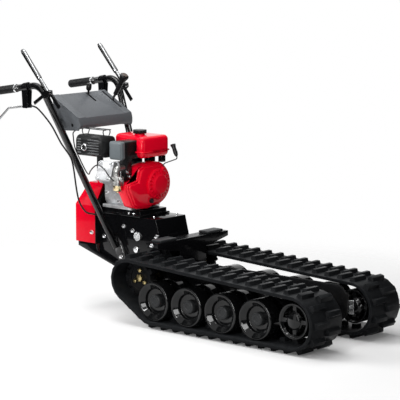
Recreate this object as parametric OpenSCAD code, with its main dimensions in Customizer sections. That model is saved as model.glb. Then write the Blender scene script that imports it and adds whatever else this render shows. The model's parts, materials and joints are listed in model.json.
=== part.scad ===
// Tracked power carrier without its load bed: two rubber tracks on a welded
// frame, a small air-cooled engine on a sheet-metal bed and splayed handlebars.
// Millimetres. X points forward, Y to the machine's left, Z up. Lengths along X
// are measured from the rear road-wheel axle and then shifted so that the
// origin lies under the middle of the whole machine, on the ground.

/* [Rubber tracks] */
// Distance between the two track centre lines
track_gauge = 362; // [350:1:380]
// Width of one rubber track
track_width = 180; // [160:1:184]
// Nominal pitch of the lugs along the track
track_pitch = 60; // [54:1:66]
// Thickness of the rubber carcass
belt_thickness = 12; // [9:0.5:13]
// Height of the ground lugs
lug_height = 15; // [8:0.5:20]
// Length of a lug at its foot, along the track
lug_foot = 26; // [20:1:28]
// Length of a lug at its crest, along the track
lug_crest = 14; // [10:1:19]
// Plain border left at each edge of the track
track_border = 18; // [8:1:30]
// Height of the guide teeth inside the track
guide_height = 14; // [8:0.5:16]
// Width of the guide teeth
guide_width = 30; // [20:1:34]
// Radius of the cord line where the track turns up at the front
nose_radius = 93.4; // [90:0.1:96]
// Distance of that turn's centre ahead of the rear road wheel
nose_x = 679.5; // [672:0.5:690]

/* [Running gear] */
// Distance between neighbouring road wheels
wheel_spacing = 168; // [156:1:190]
// Rolling radius of a road wheel
wheel_radius = 76.7; // [66:0.1:78]
// Width over both dishes of a wheel
wheel_width = 150; // [130:1:156]
// Gap between the two dishes, where the guide teeth run
wheel_gap = 40; // [36:1:50]
// Sheet thickness of the pressed wheel dishes
dish_sheet = 4; // [2.5:0.5:5]
// Radius of the wheel hubs
hub_radius = 26; // [22:0.5:28]
// Radius of the stub axles
axle_radius = 12; // [9:0.5:15]
// Height of the sprocket axle above the ground
sprocket_z = 174; // [165:1:190]
// Distance of the sprocket axle behind the rear road wheel
sprocket_back = 122; // [116:1:150]
// Width of the sprocket
sprocket_width = 34; // [26:1:36]
// Distance of the idler axle ahead of the rear road wheel
idler_x = 684; // [676:1:692]
// Height of the idler axle above the ground
idler_z = 124; // [116:1:130]
// Number of idler spokes
idler_spokes = 4; // [3:1:6]

/* [Frame and engine bed] */
// Thickness of the frame side plates
plate_t = 8; // [5:0.5:10]
// Half width over the engine bed
bed_half_w = 88; // [84:0.5:88]
// Sheet thickness of the engine bed
bed_sheet = 4; // [2:0.5:5]
// Height of the engine bed's top
bed_top_z = 388; // [375:1:400]
// Half length of the cross beam that carries the load bed
beam_half_w = 210; // [196:1:240]
// Height of the cross beam's top
beam_top_z = 322; // [310:1:340]
// Depth of the cross beam along X
beam_depth = 60; // [50:1:70]

/* [Handlebars] */
// Outside diameter of the handlebar tubes
bar_d = 28; // [24:0.5:30]
// Half distance between the grips
grip_half_y = 222; // [200:1:250]
// Height of the handlebar bend
bend_z = 892; // [860:1:930]
// Distance of the grip ends behind the rear road wheel
grip_end_back = 903; // [880:1:930]
// Wall of the rubber grips
grip_wall = 3; // [2:0.5:5]
// Half width of the dash
dash_half_w = 155; // [140:1:165]
// Wall of the moulded dash
dash_wall = 3; // [2:0.5:4]

/* [Engine] */
// Height of the crankshaft above the engine's foot
crank_h = 103; // [98:1:112]
// Radius of the fan housing
fan_radius = 88; // [84:0.5:94]
// Radius of the recoil starter housing
recoil_radius = 62; // [56:0.5:66]
// Width of the fuel tank across the machine
tank_w = 160; // [140:1:180]
// Height of the fuel tank
tank_h = 84; // [70:1:95]

/* [Hidden] */
$fn = 48;
wheel_count = 4;
sprocket_teeth = 8;
sides = ["right", "left"];

// Running gap between curved faces, radial gap of a shaft, gap of a seated face
run_gap = 0.3;
shaft_gap = 0.05;
seat_gap = 0.1;

// Track path: circles that the cord line of the belt wraps, rear one first
cord_in = 4.4;
cord_out = belt_thickness - cord_in;
sprocket_r = track_pitch * sprocket_teeth / (2 * PI);
sprocket_x = -sprocket_back;
wheel_cord = wheel_radius + 2 * run_gap + cord_in;
wheel_z = wheel_cord + cord_out + lug_height;
nose_z = nose_radius + cord_out + lug_height;
rollers = [
    [sprocket_x, sprocket_z, sprocket_r],
    [0, wheel_z, wheel_cord],
    [nose_x, nose_z, nose_radius]
];
rims = len(rollers);

function after(i) = (i + 1) % rims;
function before(i) = (i + rims - 1) % rims;
function centre(i) = [rollers[i][0], rollers[i][1]];
function turn(angle) = angle - 360 * floor(angle / 360);
// Outward normal of the straight span between two rollers
function span_normal(i) =
    let (d = centre(after(i)) - centre(i))
    atan2(d[1], d[0]) - acos((rollers[i][2] - rollers[after(i)][2]) / norm(d));
normals = [for (i = [0 : rims - 1]) span_normal(i)];
arcs = [for (i = [0 : rims - 1]) rollers[i][2] * turn(normals[i] - normals[before(i)]) * PI / 180];
spans = [for (i = [0 : rims - 1])
    let (d = norm(centre(after(i)) - centre(i)), dr = rollers[i][2] - rollers[after(i)][2])
    sqrt(d * d - dr * dr)];
function run_start(i) = i == 0 ? 0 : run_start(i - 1) + arcs[i - 1] + spans[i - 1];
starts = [for (i = [0 : rims]) run_start(i)];
track_length = starts[rims];
link_count = round(track_length / track_pitch);
link = track_length / link_count;

function roller_at(s) = max([for (i = [0 : rims - 1]) if (s >= starts[i]) i]);
function arc_point(i, angle, off) =
    centre(i) + (rollers[i][2] + off) * [cos(angle), sin(angle)];
// Point at length s along the cord line, off outwards from it
function belt_point(s, off) =
    let (t = s - track_length * floor(s / track_length), i = roller_at(t), u = t - starts[i])
    u < arcs[i]
        ? arc_point(i, normals[before(i)] + u / rollers[i][2] * 180 / PI, off)
        : arc_point(i, normals[i], off) + (u - arcs[i]) * [-sin(normals[i]), cos(normals[i])];

// Downward tilt of the grips towards their ends
grip_tilt = 9;

// The first lug sits at the very front of the track
front_s = starts[2] + nose_radius * turn(-normals[1]) * PI / 180;
// Angle of one guide tooth on the sprocket, from which its teeth are timed
guide_index = ceil((starts[0] + track_length - front_s) / link) + 1;
guide_angle = normals[2] + (front_s + guide_index * link - track_length) / sprocket_r * 180 / PI;

// The idler runs on the crests of the guide teeth, at the upper front of the turn
guide_draft = 6;
guide_crest = lug_foot - guide_draft;
guide_tip_r = (nose_radius - cord_in - guide_height) * cos(guide_crest / 2 / nose_radius * 180 / PI);
idler_r = guide_tip_r - norm([idler_x - nose_x, idler_z - nose_z]) - 2 * run_gap;

front_x = belt_point(front_s + lug_crest / 2, cord_out + lug_height)[0];
rear_x = -grip_end_back - (bar_d / 2 + grip_wall) * sin(grip_tilt);
shift_x = -(front_x + rear_x) / 2;
track_y = track_gauge / 2;
track_out_y = track_y + track_width / 2;
track_in_y = track_y - track_width / 2;
wheel_out_y = track_y + wheel_width / 2;

// Frame plates stand just inside the engine bed
plate_out_y = bed_half_w - bed_sheet - seat_gap;
plate_in_y = plate_out_y - plate_t;
frame_top_z = 205;
frame_low_z = 62;
frame_rear_x = -190;
frame_front_x = 680;
tie_size = 50;
tie_x = [40, 300, 520];
axle_flange_r = 26;
axle_flange_t = track_in_y - plate_out_y + 10;

// Engine bed outline
bed_rear_x = -440;
bed_front_top_x = -135;
bed_front_low_x = -112;
bed_fold_z = 300;
bed_low_z = 215;

// Belt drive behind the engine
cover_rear_x = -552;
cover_half_w = 110;
cover_low_z = 262;
cover_sheet = 3;
cover_shoulder_z = 414;
input_z = 318;
pulley_x = -465;
pulley_w = 26;
shaft_end_x = -300;
shaft_stub = 6;
shaft_hole_r = 34;
crank_pulley_r = 34;
input_pulley_r = 52;
drive_belt_t = 9;

// Engine
crank_x = -176;
foot_z = bed_top_z + 24;
crank_z = foot_z + crank_h;
crank_shaft_r = 10;

// Handlebars: lower fixing, corner before the bend, end of the grip
bar_r = bar_d / 2;
bar_foot = [-308, -(bed_half_w + bar_r + 6), 223];
bar_corner = [-632, -grip_half_y, bend_z + 6];
bar_end = [-grip_end_back, -grip_half_y,
           bar_corner[2] - (grip_end_back + bar_corner[0]) * tan(grip_tilt)];
bar_bend_r = 60;
grip_len = 128;
lever_pin_r = 5;
lever_pivot = [-587.5, -grip_half_y, bend_z - 24];
lever_tip = [-733, -grip_half_y, bend_z + 140];
ear_front_leg = [-538, bend_z - 82];
ear_rear_leg = [-657, bend_z - 69];
side_pivot = [-711, -grip_half_y, bend_z - 84];

// Dash side outline: top rear, top front, front foot, rear foot
dash_top_rear = [-637, 852];
dash_top_front = [-488, 769];
dash_front_low = [-478, 738];
dash_front_foot = [-487, 718];
dash_rear_foot = [-602, 712];
dash_shaft = [-592, 744];
dash_shaft_r = 6;
dash_slope = atan2(dash_top_rear[1] - dash_top_front[1], dash_top_front[0] - dash_top_rear[0]);
gear_lever_y = dash_half_w - 22;
speed_lever_y = 40;

function unit(v) = v / norm(v);
function mix(a, b, t) = a + (b - a) * t;
// Point of the handlebar tube's axis at height z, and one beside it
function bar_at(z) = mix(bar_foot, bar_corner, (z - bar_foot[2]) / (bar_corner[2] - bar_foot[2]));
function by_bar(z, dx, dy) = bar_at(z) + [dx, dy, 0];

module placed() translate([shift_x, 0, 0]) children();

// Right-hand pieces are drawn at negative Y and mirrored for the left
module on_side(side) mirror([0, side == "left" ? 1 : 0, 0]) children();

// Outline in the XZ plane made into a plate between two Y values
module side_plate(points, y_low, y_high)
    translate([0, y_high, 0]) rotate([90, 0, 0])
        linear_extrude(y_high - y_low) polygon(points);

// Outline in the YZ plane made into a plate between two X values
module cross_plate(points, x_low, x_high)
    translate([x_low, 0, 0]) rotate([90, 0, 90])
        linear_extrude(x_high - x_low) polygon(points);

// Round bar between two points
module rod(p, q, r) {
    d = q - p;
    translate(p) rotate([0, acos(d[2] / norm(d)), atan2(d[1], d[0])]) cylinder(h = norm(d), r = r);
}

// Round bar along Y
module pin_y(x, z, y_low, y_high, r)
    translate([x, y_low, z]) rotate([-90, 0, 0]) cylinder(h = y_high - y_low, r = r);

// Round bar along X
module pin_x(y, z, x_low, x_high, r)
    translate([x_low, y, z]) rotate([0, 90, 0]) cylinder(h = x_high - x_low, r = r);

function bend_trim(a, b, c, bend) = bend * tan(acos(unit(b - a) * unit(c - b)) / 2);

// Torus piece that rounds the corner b between a and c; it stands a hair proud
// of the straight bars, whose ends run a little way into it
bend_proud = 0.12;
bend_lap = 1;
module elbow(a, b, c, bend, r) {
    u = unit(b - a);
    v = unit(c - b);
    axis = unit(cross(u, v));
    out = cross(u, axis);
    p = b - bend_trim(a, b, c, bend) * u - bend * out;
    multmatrix([
        [out[0], u[0], axis[0], p[0]],
        [out[1], u[1], axis[1], p[1]],
        [out[2], u[2], axis[2], p[2]],
        [0, 0, 0, 1]
    ]) rotate_extrude(angle = acos(u * v)) translate([bend, 0]) circle(r + bend_proud);
}

// Bar through the points, with every inner corner bent to the same radius
module bent_bar(points, bend, r) {
    last = len(points) - 1;
    for (i = [0 : last - 1]) {
        u = unit(points[i + 1] - points[i]);
        head = i == 0 ? 0 : bend_trim(points[i - 1], points[i], points[i + 1], bend) - bend_lap;
        tail = i == last - 1 ? 0 : bend_trim(points[i], points[i + 1], points[i + 2], bend) - bend_lap;
        rod(points[i] + head * u, points[i + 1] - tail * u, r);
    }
    for (i = [1 : 1 : last - 1]) elbow(points[i - 1], points[i], points[i + 1], bend, r);
}

// Rectangle with rounded corners, as outline points
function corner_points(cx, cy, r, from, steps) =
    [for (k = [0 : steps]) [cx + r * cos(from + 90 * k / steps), cy + r * sin(from + 90 * k / steps)]];
function round_rect(x0, y0, x1, y1, r, steps = 4) = concat(
    corner_points(x1 - r, y1 - r, r, 0, steps), corner_points(x0 + r, y1 - r, r, 90, steps),
    corner_points(x0 + r, y0 + r, r, 180, steps), corner_points(x1 - r, y0 + r, r, 270, steps));

// Outer outline of the track; row 0 or 1 has lugs, 2 has none
function lug(s, has) = has
    ? [belt_point(s - lug_foot / 2, cord_out), belt_point(s - lug_crest / 2, cord_out + lug_height),
       belt_point(s + lug_crest / 2, cord_out + lug_height), belt_point(s + lug_foot / 2, cord_out)]
    : [belt_point(s - lug_foot / 2, cord_out), belt_point(s + lug_foot / 2, cord_out)];
function tread_outline(row) = [for (k = [0 : link_count - 1], h = [0, 1])
    each lug(front_s + (k + h / 2) * link, row == h)];

// Inner outline of the track, with or without guide teeth
function guide(s, has) = has
    ? [belt_point(s - lug_foot / 2, -cord_in), belt_point(s - guide_crest / 2, -cord_in - guide_height),
       belt_point(s + guide_crest / 2, -cord_in - guide_height), belt_point(s + lug_foot / 2, -cord_in)]
    : [for (k = [-1 : 1]) belt_point(s + k * lug_foot / 2, -cord_in)];
function inside_outline(has_guides) = [for (k = [0 : link_count - 1], h = [0, 1])
    each guide(front_s + (k + h / 2) * link, has_guides && h == 0)];

// Slice of the track between two distances from its outer edge
module track_band(from, to, row, has_guides)
    translate([0, -track_out_y + to, 0]) rotate([90, 0, 0]) linear_extrude(to - from)
        difference() {
            polygon(tread_outline(row));
            polygon(inside_outline(has_guides));
        }

module track(side) color("#26282a") placed() on_side(side) {
    middle = track_width / 2;
    track_band(0, track_border, 2, false);
    track_band(track_border, middle - guide_width / 2, 0, false);
    track_band(middle - guide_width / 2, middle, 0, true);
    track_band(middle, middle + guide_width / 2, 1, true);
    track_band(middle + guide_width / 2, track_width - track_border, 1, false);
    track_band(track_width - track_border, track_width, 2, false);
}

// Toothed drive wheel, timed to the guide teeth of the track
tooth_root_r = sprocket_r - cord_in - guide_height - 1;
tooth_tip_r = sprocket_r - cord_in - 2 * run_gap;
tooth_play = 1.4;
tooth_half = 180 / sprocket_teeth - lug_foot / 2 / tooth_tip_r * 180 / PI - tooth_play;
web_t = 20;
web_r = 46;
sprocket_bolt_circle = 30;
function tooth(angle) = [
    for (c = [[tooth_root_r, -tooth_half - 1], [tooth_tip_r, -tooth_half + 2],
              [tooth_tip_r, tooth_half - 2], [tooth_root_r, tooth_half + 1]])
    c[0] * [cos(angle + c[1]), sin(angle + c[1])]];
module sprocket(side) color("#1f2123") placed() on_side(side)
    translate([sprocket_x, -track_y + sprocket_width / 2, sprocket_z]) rotate([90, 0, 0])
        difference() {
            linear_extrude(sprocket_width) polygon([for (k = [0 : sprocket_teeth - 1])
                each tooth(guide_angle + (k + 0.5) * 360 / sprocket_teeth)]);
            translate([0, 0, -1]) cylinder(h = (sprocket_width - web_t) / 2 + 1, r = web_r);
            translate([0, 0, (sprocket_width + web_t) / 2])
                cylinder(h = sprocket_width, r = web_r);
            cylinder(h = 3 * sprocket_width, r = axle_radius + shaft_gap, center = true);
            for (k = [0 : 2]) rotate(90 + 120 * k) translate([sprocket_bolt_circle, 0, 0])
                cylinder(h = sprocket_width, r = stud_r + shaft_gap);
        }

// Output shaft of the gearbox: flange behind the sprocket, three studs with
// nuts and the centre nut in front of it
drive_shaft_in_y = 40;
stud_r = 5;
nut_r = 9;
nut_h = 9;
centre_nut_r = 16;
module drive_axle(side) color("#8d8460") placed() on_side(side) {
    web_in_y = -track_y + web_t / 2;
    web_out_y = web_in_y - web_t - seat_gap;
    pin_y(sprocket_x, sprocket_z, web_out_y - 1, -drive_shaft_in_y, axle_radius);
    pin_y(sprocket_x, sprocket_z, web_in_y + seat_gap, web_in_y + 9, web_r - 3);
    translate([sprocket_x, web_out_y, sprocket_z]) rotate([90, 0, 0]) {
        cylinder(h = nut_h + 3, r = centre_nut_r, $fn = 6);
        for (k = [0 : 2]) rotate(90 + 120 * k) translate([sprocket_bolt_circle, 0, 0]) {
            cylinder(h = nut_h, r = nut_r, $fn = 6);
            translate([0, 0, -web_t - 3]) cylinder(h = web_t + 6, r = stud_r);
        }
    }
}

// Wheel outlines in radius and distance from the outer face: rolled rim, cone,
// step and flat web of one pressed dish
cap_depth = 11;
lip_r = 5;
rim_in = 9;
cone_r = 54;
cone_depth = 18;
step_r = 51;
web_depth = 30;
function dish(t) = [
    [wheel_radius - lip_r, 0], [wheel_radius - lip_r / 3, lip_r / 5], [wheel_radius, lip_r],
    [wheel_radius, (wheel_width - wheel_gap) / 2], [wheel_radius - t, (wheel_width - wheel_gap) / 2],
    [wheel_radius - t, lip_r + t + 3], [wheel_radius - rim_in, lip_r + 3], [cone_r, cone_depth],
    [step_r, web_depth], [hub_radius - 1, web_depth], [hub_radius - 1, web_depth - t],
    [step_r - t, web_depth - t], [cone_r - t, cone_depth - t], [wheel_radius - rim_in - 2, lip_r / 3]];
function flipped(points) = [for (k = [len(points) - 1 : -1 : 0]) [points[k][0], wheel_width - points[k][1]]];

cap_chamfer = 5;
cap_t = 8;
module hub_outline(depth, r) {
    translate([axle_radius + shaft_gap, depth + cap_t - 1])
        square([hub_radius - axle_radius - shaft_gap, wheel_width - depth - cap_t - 3]);
    polygon([[0, depth], [r - cap_chamfer, depth], [r, depth + cap_chamfer],
             [r, depth + cap_t], [0, depth + cap_t]]);
}

module turned_wheel(x, z) translate([x, -wheel_out_y, z]) rotate([-90, 0, 0]) children();

module road_wheel(side, index) color("#1b1d1f") placed() on_side(side)
    turned_wheel((index - 1) * wheel_spacing, wheel_z) rotate_extrude($fn = 64) {
        polygon(dish(dish_sheet));
        polygon(flipped(dish(dish_sheet)));
        hub_outline(cap_depth, hub_radius);
    }

// Spoked front idler: a drum on two pierced discs
idler_rim_t = 7;
idler_disc_at = 8;
idler_disc_t = 7;
idler_cap_r = 30;
window_in_r = 34;
window_border = 3;
spoke_w = 15;
module idler_outline() {
    translate([idler_r - idler_rim_t, 0]) square([idler_rim_t, wheel_width]);
    for (at = [idler_disc_at, wheel_width - idler_disc_at - idler_disc_t])
        translate([hub_radius - 1, at]) square([idler_r - hub_radius - 2, idler_disc_t]);
    hub_outline(0, idler_cap_r);
}
module idler(side) color("#1b1d1f") placed() on_side(side) turned_wheel(idler_x, idler_z)
    difference() {
        rotate_extrude($fn = 64) idler_outline();
        translate([0, 0, -1]) linear_extrude(wheel_width + 2) difference() {
            circle(idler_r - idler_rim_t - window_border);
            circle(window_in_r);
            for (k = [0 : idler_spokes - 1]) rotate(90 + k * 360 / idler_spokes)
                translate([0, -spoke_w / 2]) square([idler_r, spoke_w]);
        }
    }

// Stub axles of the road wheels, flanged to the frame plates
axle_end_y = wheel_out_y - cap_depth - cap_t - 1;
module road_axles() color("#55585b") placed() for (side = sides) on_side(side)
    for (k = [0 : wheel_count - 1]) {
        pin_y(k * wheel_spacing, wheel_z, -axle_end_y, -plate_out_y - seat_gap, axle_radius);
        pin_y(k * wheel_spacing, wheel_z, -plate_out_y - axle_flange_t, -plate_out_y - seat_gap,
              axle_flange_r);
    }

// Idler axle on a plated slide block, with its tension screw inside the frame
slide_h = 52;
slide_len = 62;
slide_in_len = 34;
slide_t = 8;
slide_in_t = 5;
slide_ahead = 18;
screw_r = 8;
module idler_tensioners() color("#a9adb0") placed() for (side = sides) on_side(side) {
    pin_y(idler_x, idler_z, -(wheel_out_y - cap_t - 1), -plate_out_y - slide_t / 2, axle_radius);
    translate([idler_x - slide_len, -plate_out_y - slide_t, idler_z - slide_h / 2])
        cube([slide_len + slide_ahead, slide_t - seat_gap, slide_h]);
    translate([idler_x - slide_len - slide_in_len / 2, -plate_in_y + seat_gap, idler_z - slide_h])
        cube([slide_in_len, slide_in_t, slide_h]);
    pin_x(-plate_in_y + screw_r + slide_in_t - 2, idler_z - slide_h / 2, tie_x[2] + tie_size + seat_gap,
          idler_x - slide_len, screw_r);
}

// Welded frame: two deep side plates and three cross ties
frame_rear_z = [130, 250];
frame_step_x = [-95, -70];
frame_nose_x = 640;
frame_nose_z = [92, 172];
frame_heel = [-110, 100];
frame_heel_x = -30;
tie_z = 120;
beam_seat_z = 150;
beam_rear_x = -75;
module frame_side() difference() {
    side_plate([[frame_rear_x, frame_rear_z[0]], [frame_rear_x, frame_rear_z[1]],
                [frame_step_x[0], frame_rear_z[1]], [frame_step_x[1], frame_top_z],
                [frame_nose_x, frame_top_z], [frame_front_x, frame_nose_z[1]],
                [frame_front_x, frame_nose_z[0]], [frame_nose_x, frame_low_z],
                [frame_heel_x, frame_low_z], frame_heel], -plate_out_y, -plate_in_y);
    pin_y(sprocket_x, sprocket_z, -plate_out_y - 1, -plate_in_y + 1, boss_r + seat_gap);
}
module main_frame() color("#161718") placed() {
    for (side = sides) on_side(side) frame_side();
    for (x = tie_x) translate([x, -plate_in_y, tie_z]) cube([tie_size, 2 * plate_in_y, tie_size]);
    translate([beam_rear_x, -plate_in_y, beam_seat_z])
        cube([beam_depth, 2 * plate_in_y, frame_top_z - beam_seat_z]);
}

// Gearbox casting between the plates, with its output bosses and input nose
boss_r = 32;
boss_out_y = track_in_y - 2;
box_half_w = plate_in_y - seat_gap;
box_x = [-215, -92];
box_z = [112, 300];
box_corner = 26;
head_x = [-300, -180];
head_z = [input_z - 50, input_z + 50];
head_half_w = 48;
head_corner = 22;
nose_end_x = -428;
nose_r = 30;
nose_bore_x = -290;
input_shaft_r = 10;
module gearbox() color("#2a2c2e") placed() difference() {
    union() {
        side_plate(round_rect(box_x[0], box_z[0], box_x[1], box_z[1], box_corner), -box_half_w, box_half_w);
        side_plate(round_rect(head_x[0], head_z[0], head_x[1], head_z[1], head_corner),
                   -head_half_w, head_half_w);
        pin_y(sprocket_x, sprocket_z, -boss_out_y, boss_out_y, boss_r);
        pin_x(0, input_z, nose_end_x, nose_bore_x, nose_r);
    }
    pin_y(sprocket_x, sprocket_z, -track_in_y, track_in_y, axle_radius + shaft_gap);
    pin_x(0, input_z, nose_end_x - 1, nose_bore_x, input_shaft_r + shaft_gap);
}

// Folded sheet-metal bed under the engine
bed_keel = [-300, 168];
bed_rear_low_z = 212;
bed_knee = [-222, 191];
bed_lip_z = 225;
bed_outline = [
    [bed_front_top_x, bed_top_z], [bed_front_low_x, bed_fold_z], [bed_front_low_x, bed_low_z],
    bed_knee, bed_keel, [bed_rear_x, bed_rear_low_z], [bed_rear_x, bed_top_z]];
module engine_bed() color("#141516") placed() difference() {
    union() {
        for (s = [-1, 1]) side_plate(bed_outline, min(s * bed_half_w, s * (bed_half_w - bed_sheet)),
                                     max(s * bed_half_w, s * (bed_half_w - bed_sheet)));
        translate([bed_rear_x, -bed_half_w, bed_top_z - bed_sheet])
            cube([bed_front_top_x - bed_rear_x, 2 * bed_half_w, bed_sheet]);
        side_plate([[bed_front_top_x, bed_top_z], [bed_front_low_x, bed_fold_z],
                    [bed_front_low_x - bed_sheet, bed_fold_z],
                    [bed_front_top_x - bed_sheet, bed_top_z]], -bed_half_w, bed_half_w);
        translate([bed_rear_x, -bed_half_w, bed_lip_z])
            cube([bed_sheet, 2 * bed_half_w, bed_top_z - bed_lip_z]);
    }
    pin_x(0, input_z, bed_rear_x - 1, bed_rear_x + bed_sheet + 1, shaft_hole_r);
}

// Sloped tray that guards the underside behind the tracks
guard_half_w = 100;
guard_sheet = 3;
guard_front_x = bed_keel[0];
guard_rear_x = -548;
guard_lip = [12, 16];
guard_top_z = cover_low_z - 2;
guard_fall = (bed_rear_low_z - bed_keel[1]) / (guard_front_x - bed_rear_x);
function guard_z(x) = bed_keel[1] - seat_gap + (guard_front_x - x) * guard_fall;
module rear_guard() color("#191b1c") placed() {
    side_plate([[guard_rear_x, guard_z(guard_rear_x)], [guard_front_x, guard_z(guard_front_x)],
                [guard_front_x, guard_z(guard_front_x) - guard_sheet],
                [guard_rear_x, guard_z(guard_rear_x) - guard_sheet]], -guard_half_w, guard_half_w);
    for (s = [-1, 1]) side_plate(
        [[guard_rear_x, guard_top_z], [guard_rear_x, guard_z(guard_rear_x) - guard_sheet],
         [guard_front_x, guard_z(guard_front_x) - guard_sheet],
         [guard_front_x, guard_z(guard_front_x) + guard_lip[0]],
         [bed_rear_x, guard_z(bed_rear_x) + guard_lip[1]], [bed_rear_x - 10, guard_top_z]],
        min(s * guard_half_w, s * (guard_half_w - guard_sheet)),
        max(s * guard_half_w, s * (guard_half_w - guard_sheet)));
}

// Cross beam for the load bed: folded channel with tapered, closed ends
beam_sheet = 5;
beam_end_h = 20;
beam_h = 42;
beam_taper = 105;
beam_outline = [
    [-beam_half_w, beam_top_z], [-beam_half_w, beam_top_z - beam_end_h],
    [-beam_half_w + beam_taper, beam_top_z - beam_h], [-plate_in_y, beam_top_z - beam_h],
    [-plate_in_y, frame_top_z + seat_gap], [plate_in_y, frame_top_z + seat_gap],
    [plate_in_y, beam_top_z - beam_h], [beam_half_w - beam_taper, beam_top_z - beam_h],
    [beam_half_w, beam_top_z - beam_end_h], [beam_half_w, beam_top_z]];
beam_hole_r = 6.5;
beam_hole_in = 13;
module bed_beam() color("#17191a") placed() difference() {
    union() {
        for (x = [beam_rear_x, beam_rear_x + beam_depth - beam_sheet])
            cross_plate(beam_outline, x, x + beam_sheet);
        translate([beam_rear_x, -beam_half_w, beam_top_z - beam_sheet])
            cube([beam_depth, 2 * beam_half_w, beam_sheet]);
        for (y = [-beam_half_w, beam_half_w - beam_end_t])
            translate([beam_rear_x, y, beam_top_z - beam_end_h]) cube([beam_depth, beam_end_t, beam_end_h]);
    }
    for (s = [-1, 1]) translate([beam_rear_x + beam_depth / 2, s * (beam_half_w - beam_hole_in),
                                 beam_top_z - 2 * beam_sheet])
        cylinder(h = 3 * beam_sheet, r = beam_hole_r);
}
beam_end_t = 4;

// Two rubber pads on the cross beam
pad_len = 94;
pad_at = 139;
pad_h = 9;
pad_in = 5;
pad_corner = 5;
module bed_pads() color("#3a3d3f") placed() for (s = [-1, 1])
    translate([beam_rear_x, s * pad_at, beam_top_z + seat_gap]) linear_extrude(pad_h)
        polygon(round_rect(pad_in, -pad_len / 2, beam_depth - pad_in, pad_len / 2, pad_corner));

// Belt cover outlines, seen from behind, drawn in by t: the deep roofed body and
// the shallow neck over the crankshaft pulley
cover_top_z = 495;
cover_top_half = 30;
neck_rear_x = -490;
neck_half = 46;
neck_low_z = 440;
neck_over = [20, 46];
neck_crown_half = 24;
function cover_outline(t) = [
    [-cover_half_w + t, cover_low_z + t], [-cover_half_w + t, cover_shoulder_z - 0.4 * t],
    [-cover_top_half + 0.4 * t, cover_top_z - t], [cover_top_half - 0.4 * t, cover_top_z - t],
    [cover_half_w - t, cover_shoulder_z - 0.4 * t], [cover_half_w - t, cover_low_z + t]];
function neck_outline(t) = [
    [-neck_half + t, neck_low_z], [-neck_half + t, crank_z + neck_over[0]],
    [-neck_crown_half, crank_z + neck_over[1] - t], [neck_crown_half, crank_z + neck_over[1] - t],
    [neck_half - t, crank_z + neck_over[0]], [neck_half - t, neck_low_z]];
module belt_cover() color("#c8102e") placed() difference() {
    union() {
        cross_plate(cover_outline(0), cover_rear_x, bed_rear_x - plate_back_t - 2 * seat_gap);
        cross_plate(neck_outline(0), neck_rear_x, bed_rear_x - plate_back_t - 2 * seat_gap);
    }
    cross_plate(cover_outline(cover_sheet), cover_rear_x + cover_sheet, bed_rear_x);
    cross_plate(neck_outline(cover_sheet), neck_rear_x + cover_sheet, bed_rear_x);
}

// Black back plate between the belt cover and the engine bed
plate_back_t = 3;
plate_reach = 2;
crank_hole_r = 26;
module belt_plate() color("#121314") placed() difference() {
    union() {
        cross_plate(cover_outline(-plate_reach), bed_rear_x - plate_back_t - seat_gap, bed_rear_x - seat_gap);
        cross_plate(neck_outline(-plate_reach), bed_rear_x - plate_back_t - seat_gap, bed_rear_x - seat_gap);
    }
    pin_x(0, input_z, bed_rear_x - 10, bed_rear_x + 10, shaft_hole_r);
    pin_x(0, crank_z, bed_rear_x - 10, bed_rear_x + 10, crank_hole_r);
}

// Grooved pulley on a shaft along X
groove_w = 17;
groove_d = 9;
module pulley(z, r, bore) translate([pulley_x - pulley_w / 2, 0, z]) rotate([0, 90, 0])
    rotate_extrude($fn = 64) polygon([[bore, 0], [r, 0], [r, (pulley_w - groove_w) / 2],
        [r - groove_d, (pulley_w - groove_w) / 2 + 3], [r - groove_d, (pulley_w + groove_w) / 2 - 3],
        [r, (pulley_w + groove_w) / 2], [r, pulley_w], [bore, pulley_w]]);
module crankshaft() color("#8d9194") placed()
    pin_x(0, crank_z, pulley_x - pulley_w / 2 - shaft_stub, shaft_end_x, crank_shaft_r);
module crank_pulley() color("#4b4e51") placed()
    pulley(crank_z, crank_pulley_r, crank_shaft_r + shaft_gap);
module input_pulley() color("#4b4e51") placed() {
    pulley(input_z, input_pulley_r, input_shaft_r - 1);
    pin_x(0, input_z, pulley_x - pulley_w / 2 - shaft_stub, shaft_end_x, input_shaft_r);
}

// V-belt round both pulleys
belt_steps = 24;
belt_lift = 0.5;
belt_clear = 3.3;
belt_tilt = asin((input_pulley_r - crank_pulley_r) / (crank_z - input_z));
function belt_loop(off) = concat(
    [for (k = [0 : belt_steps]) let (a = belt_tilt + (180 - 2 * belt_tilt) * k / belt_steps)
        [0, crank_z] + (crank_pulley_r + off) * [cos(a), sin(a)]],
    [for (k = [0 : belt_steps]) let (a = 180 - belt_tilt + (180 + 2 * belt_tilt) * k / belt_steps)
        [0, input_z] + (input_pulley_r + off) * [cos(a), sin(a)]]);
module drive_belt() color("#202224") placed()
    translate([pulley_x - groove_w / 2 + belt_clear, 0, 0]) rotate([90, 0, 90])
        linear_extrude(groove_w - 2 * belt_clear) difference() {
            polygon(belt_loop(belt_lift + drive_belt_t - groove_d));
            polygon(belt_loop(belt_lift - groove_d));
        }

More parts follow.
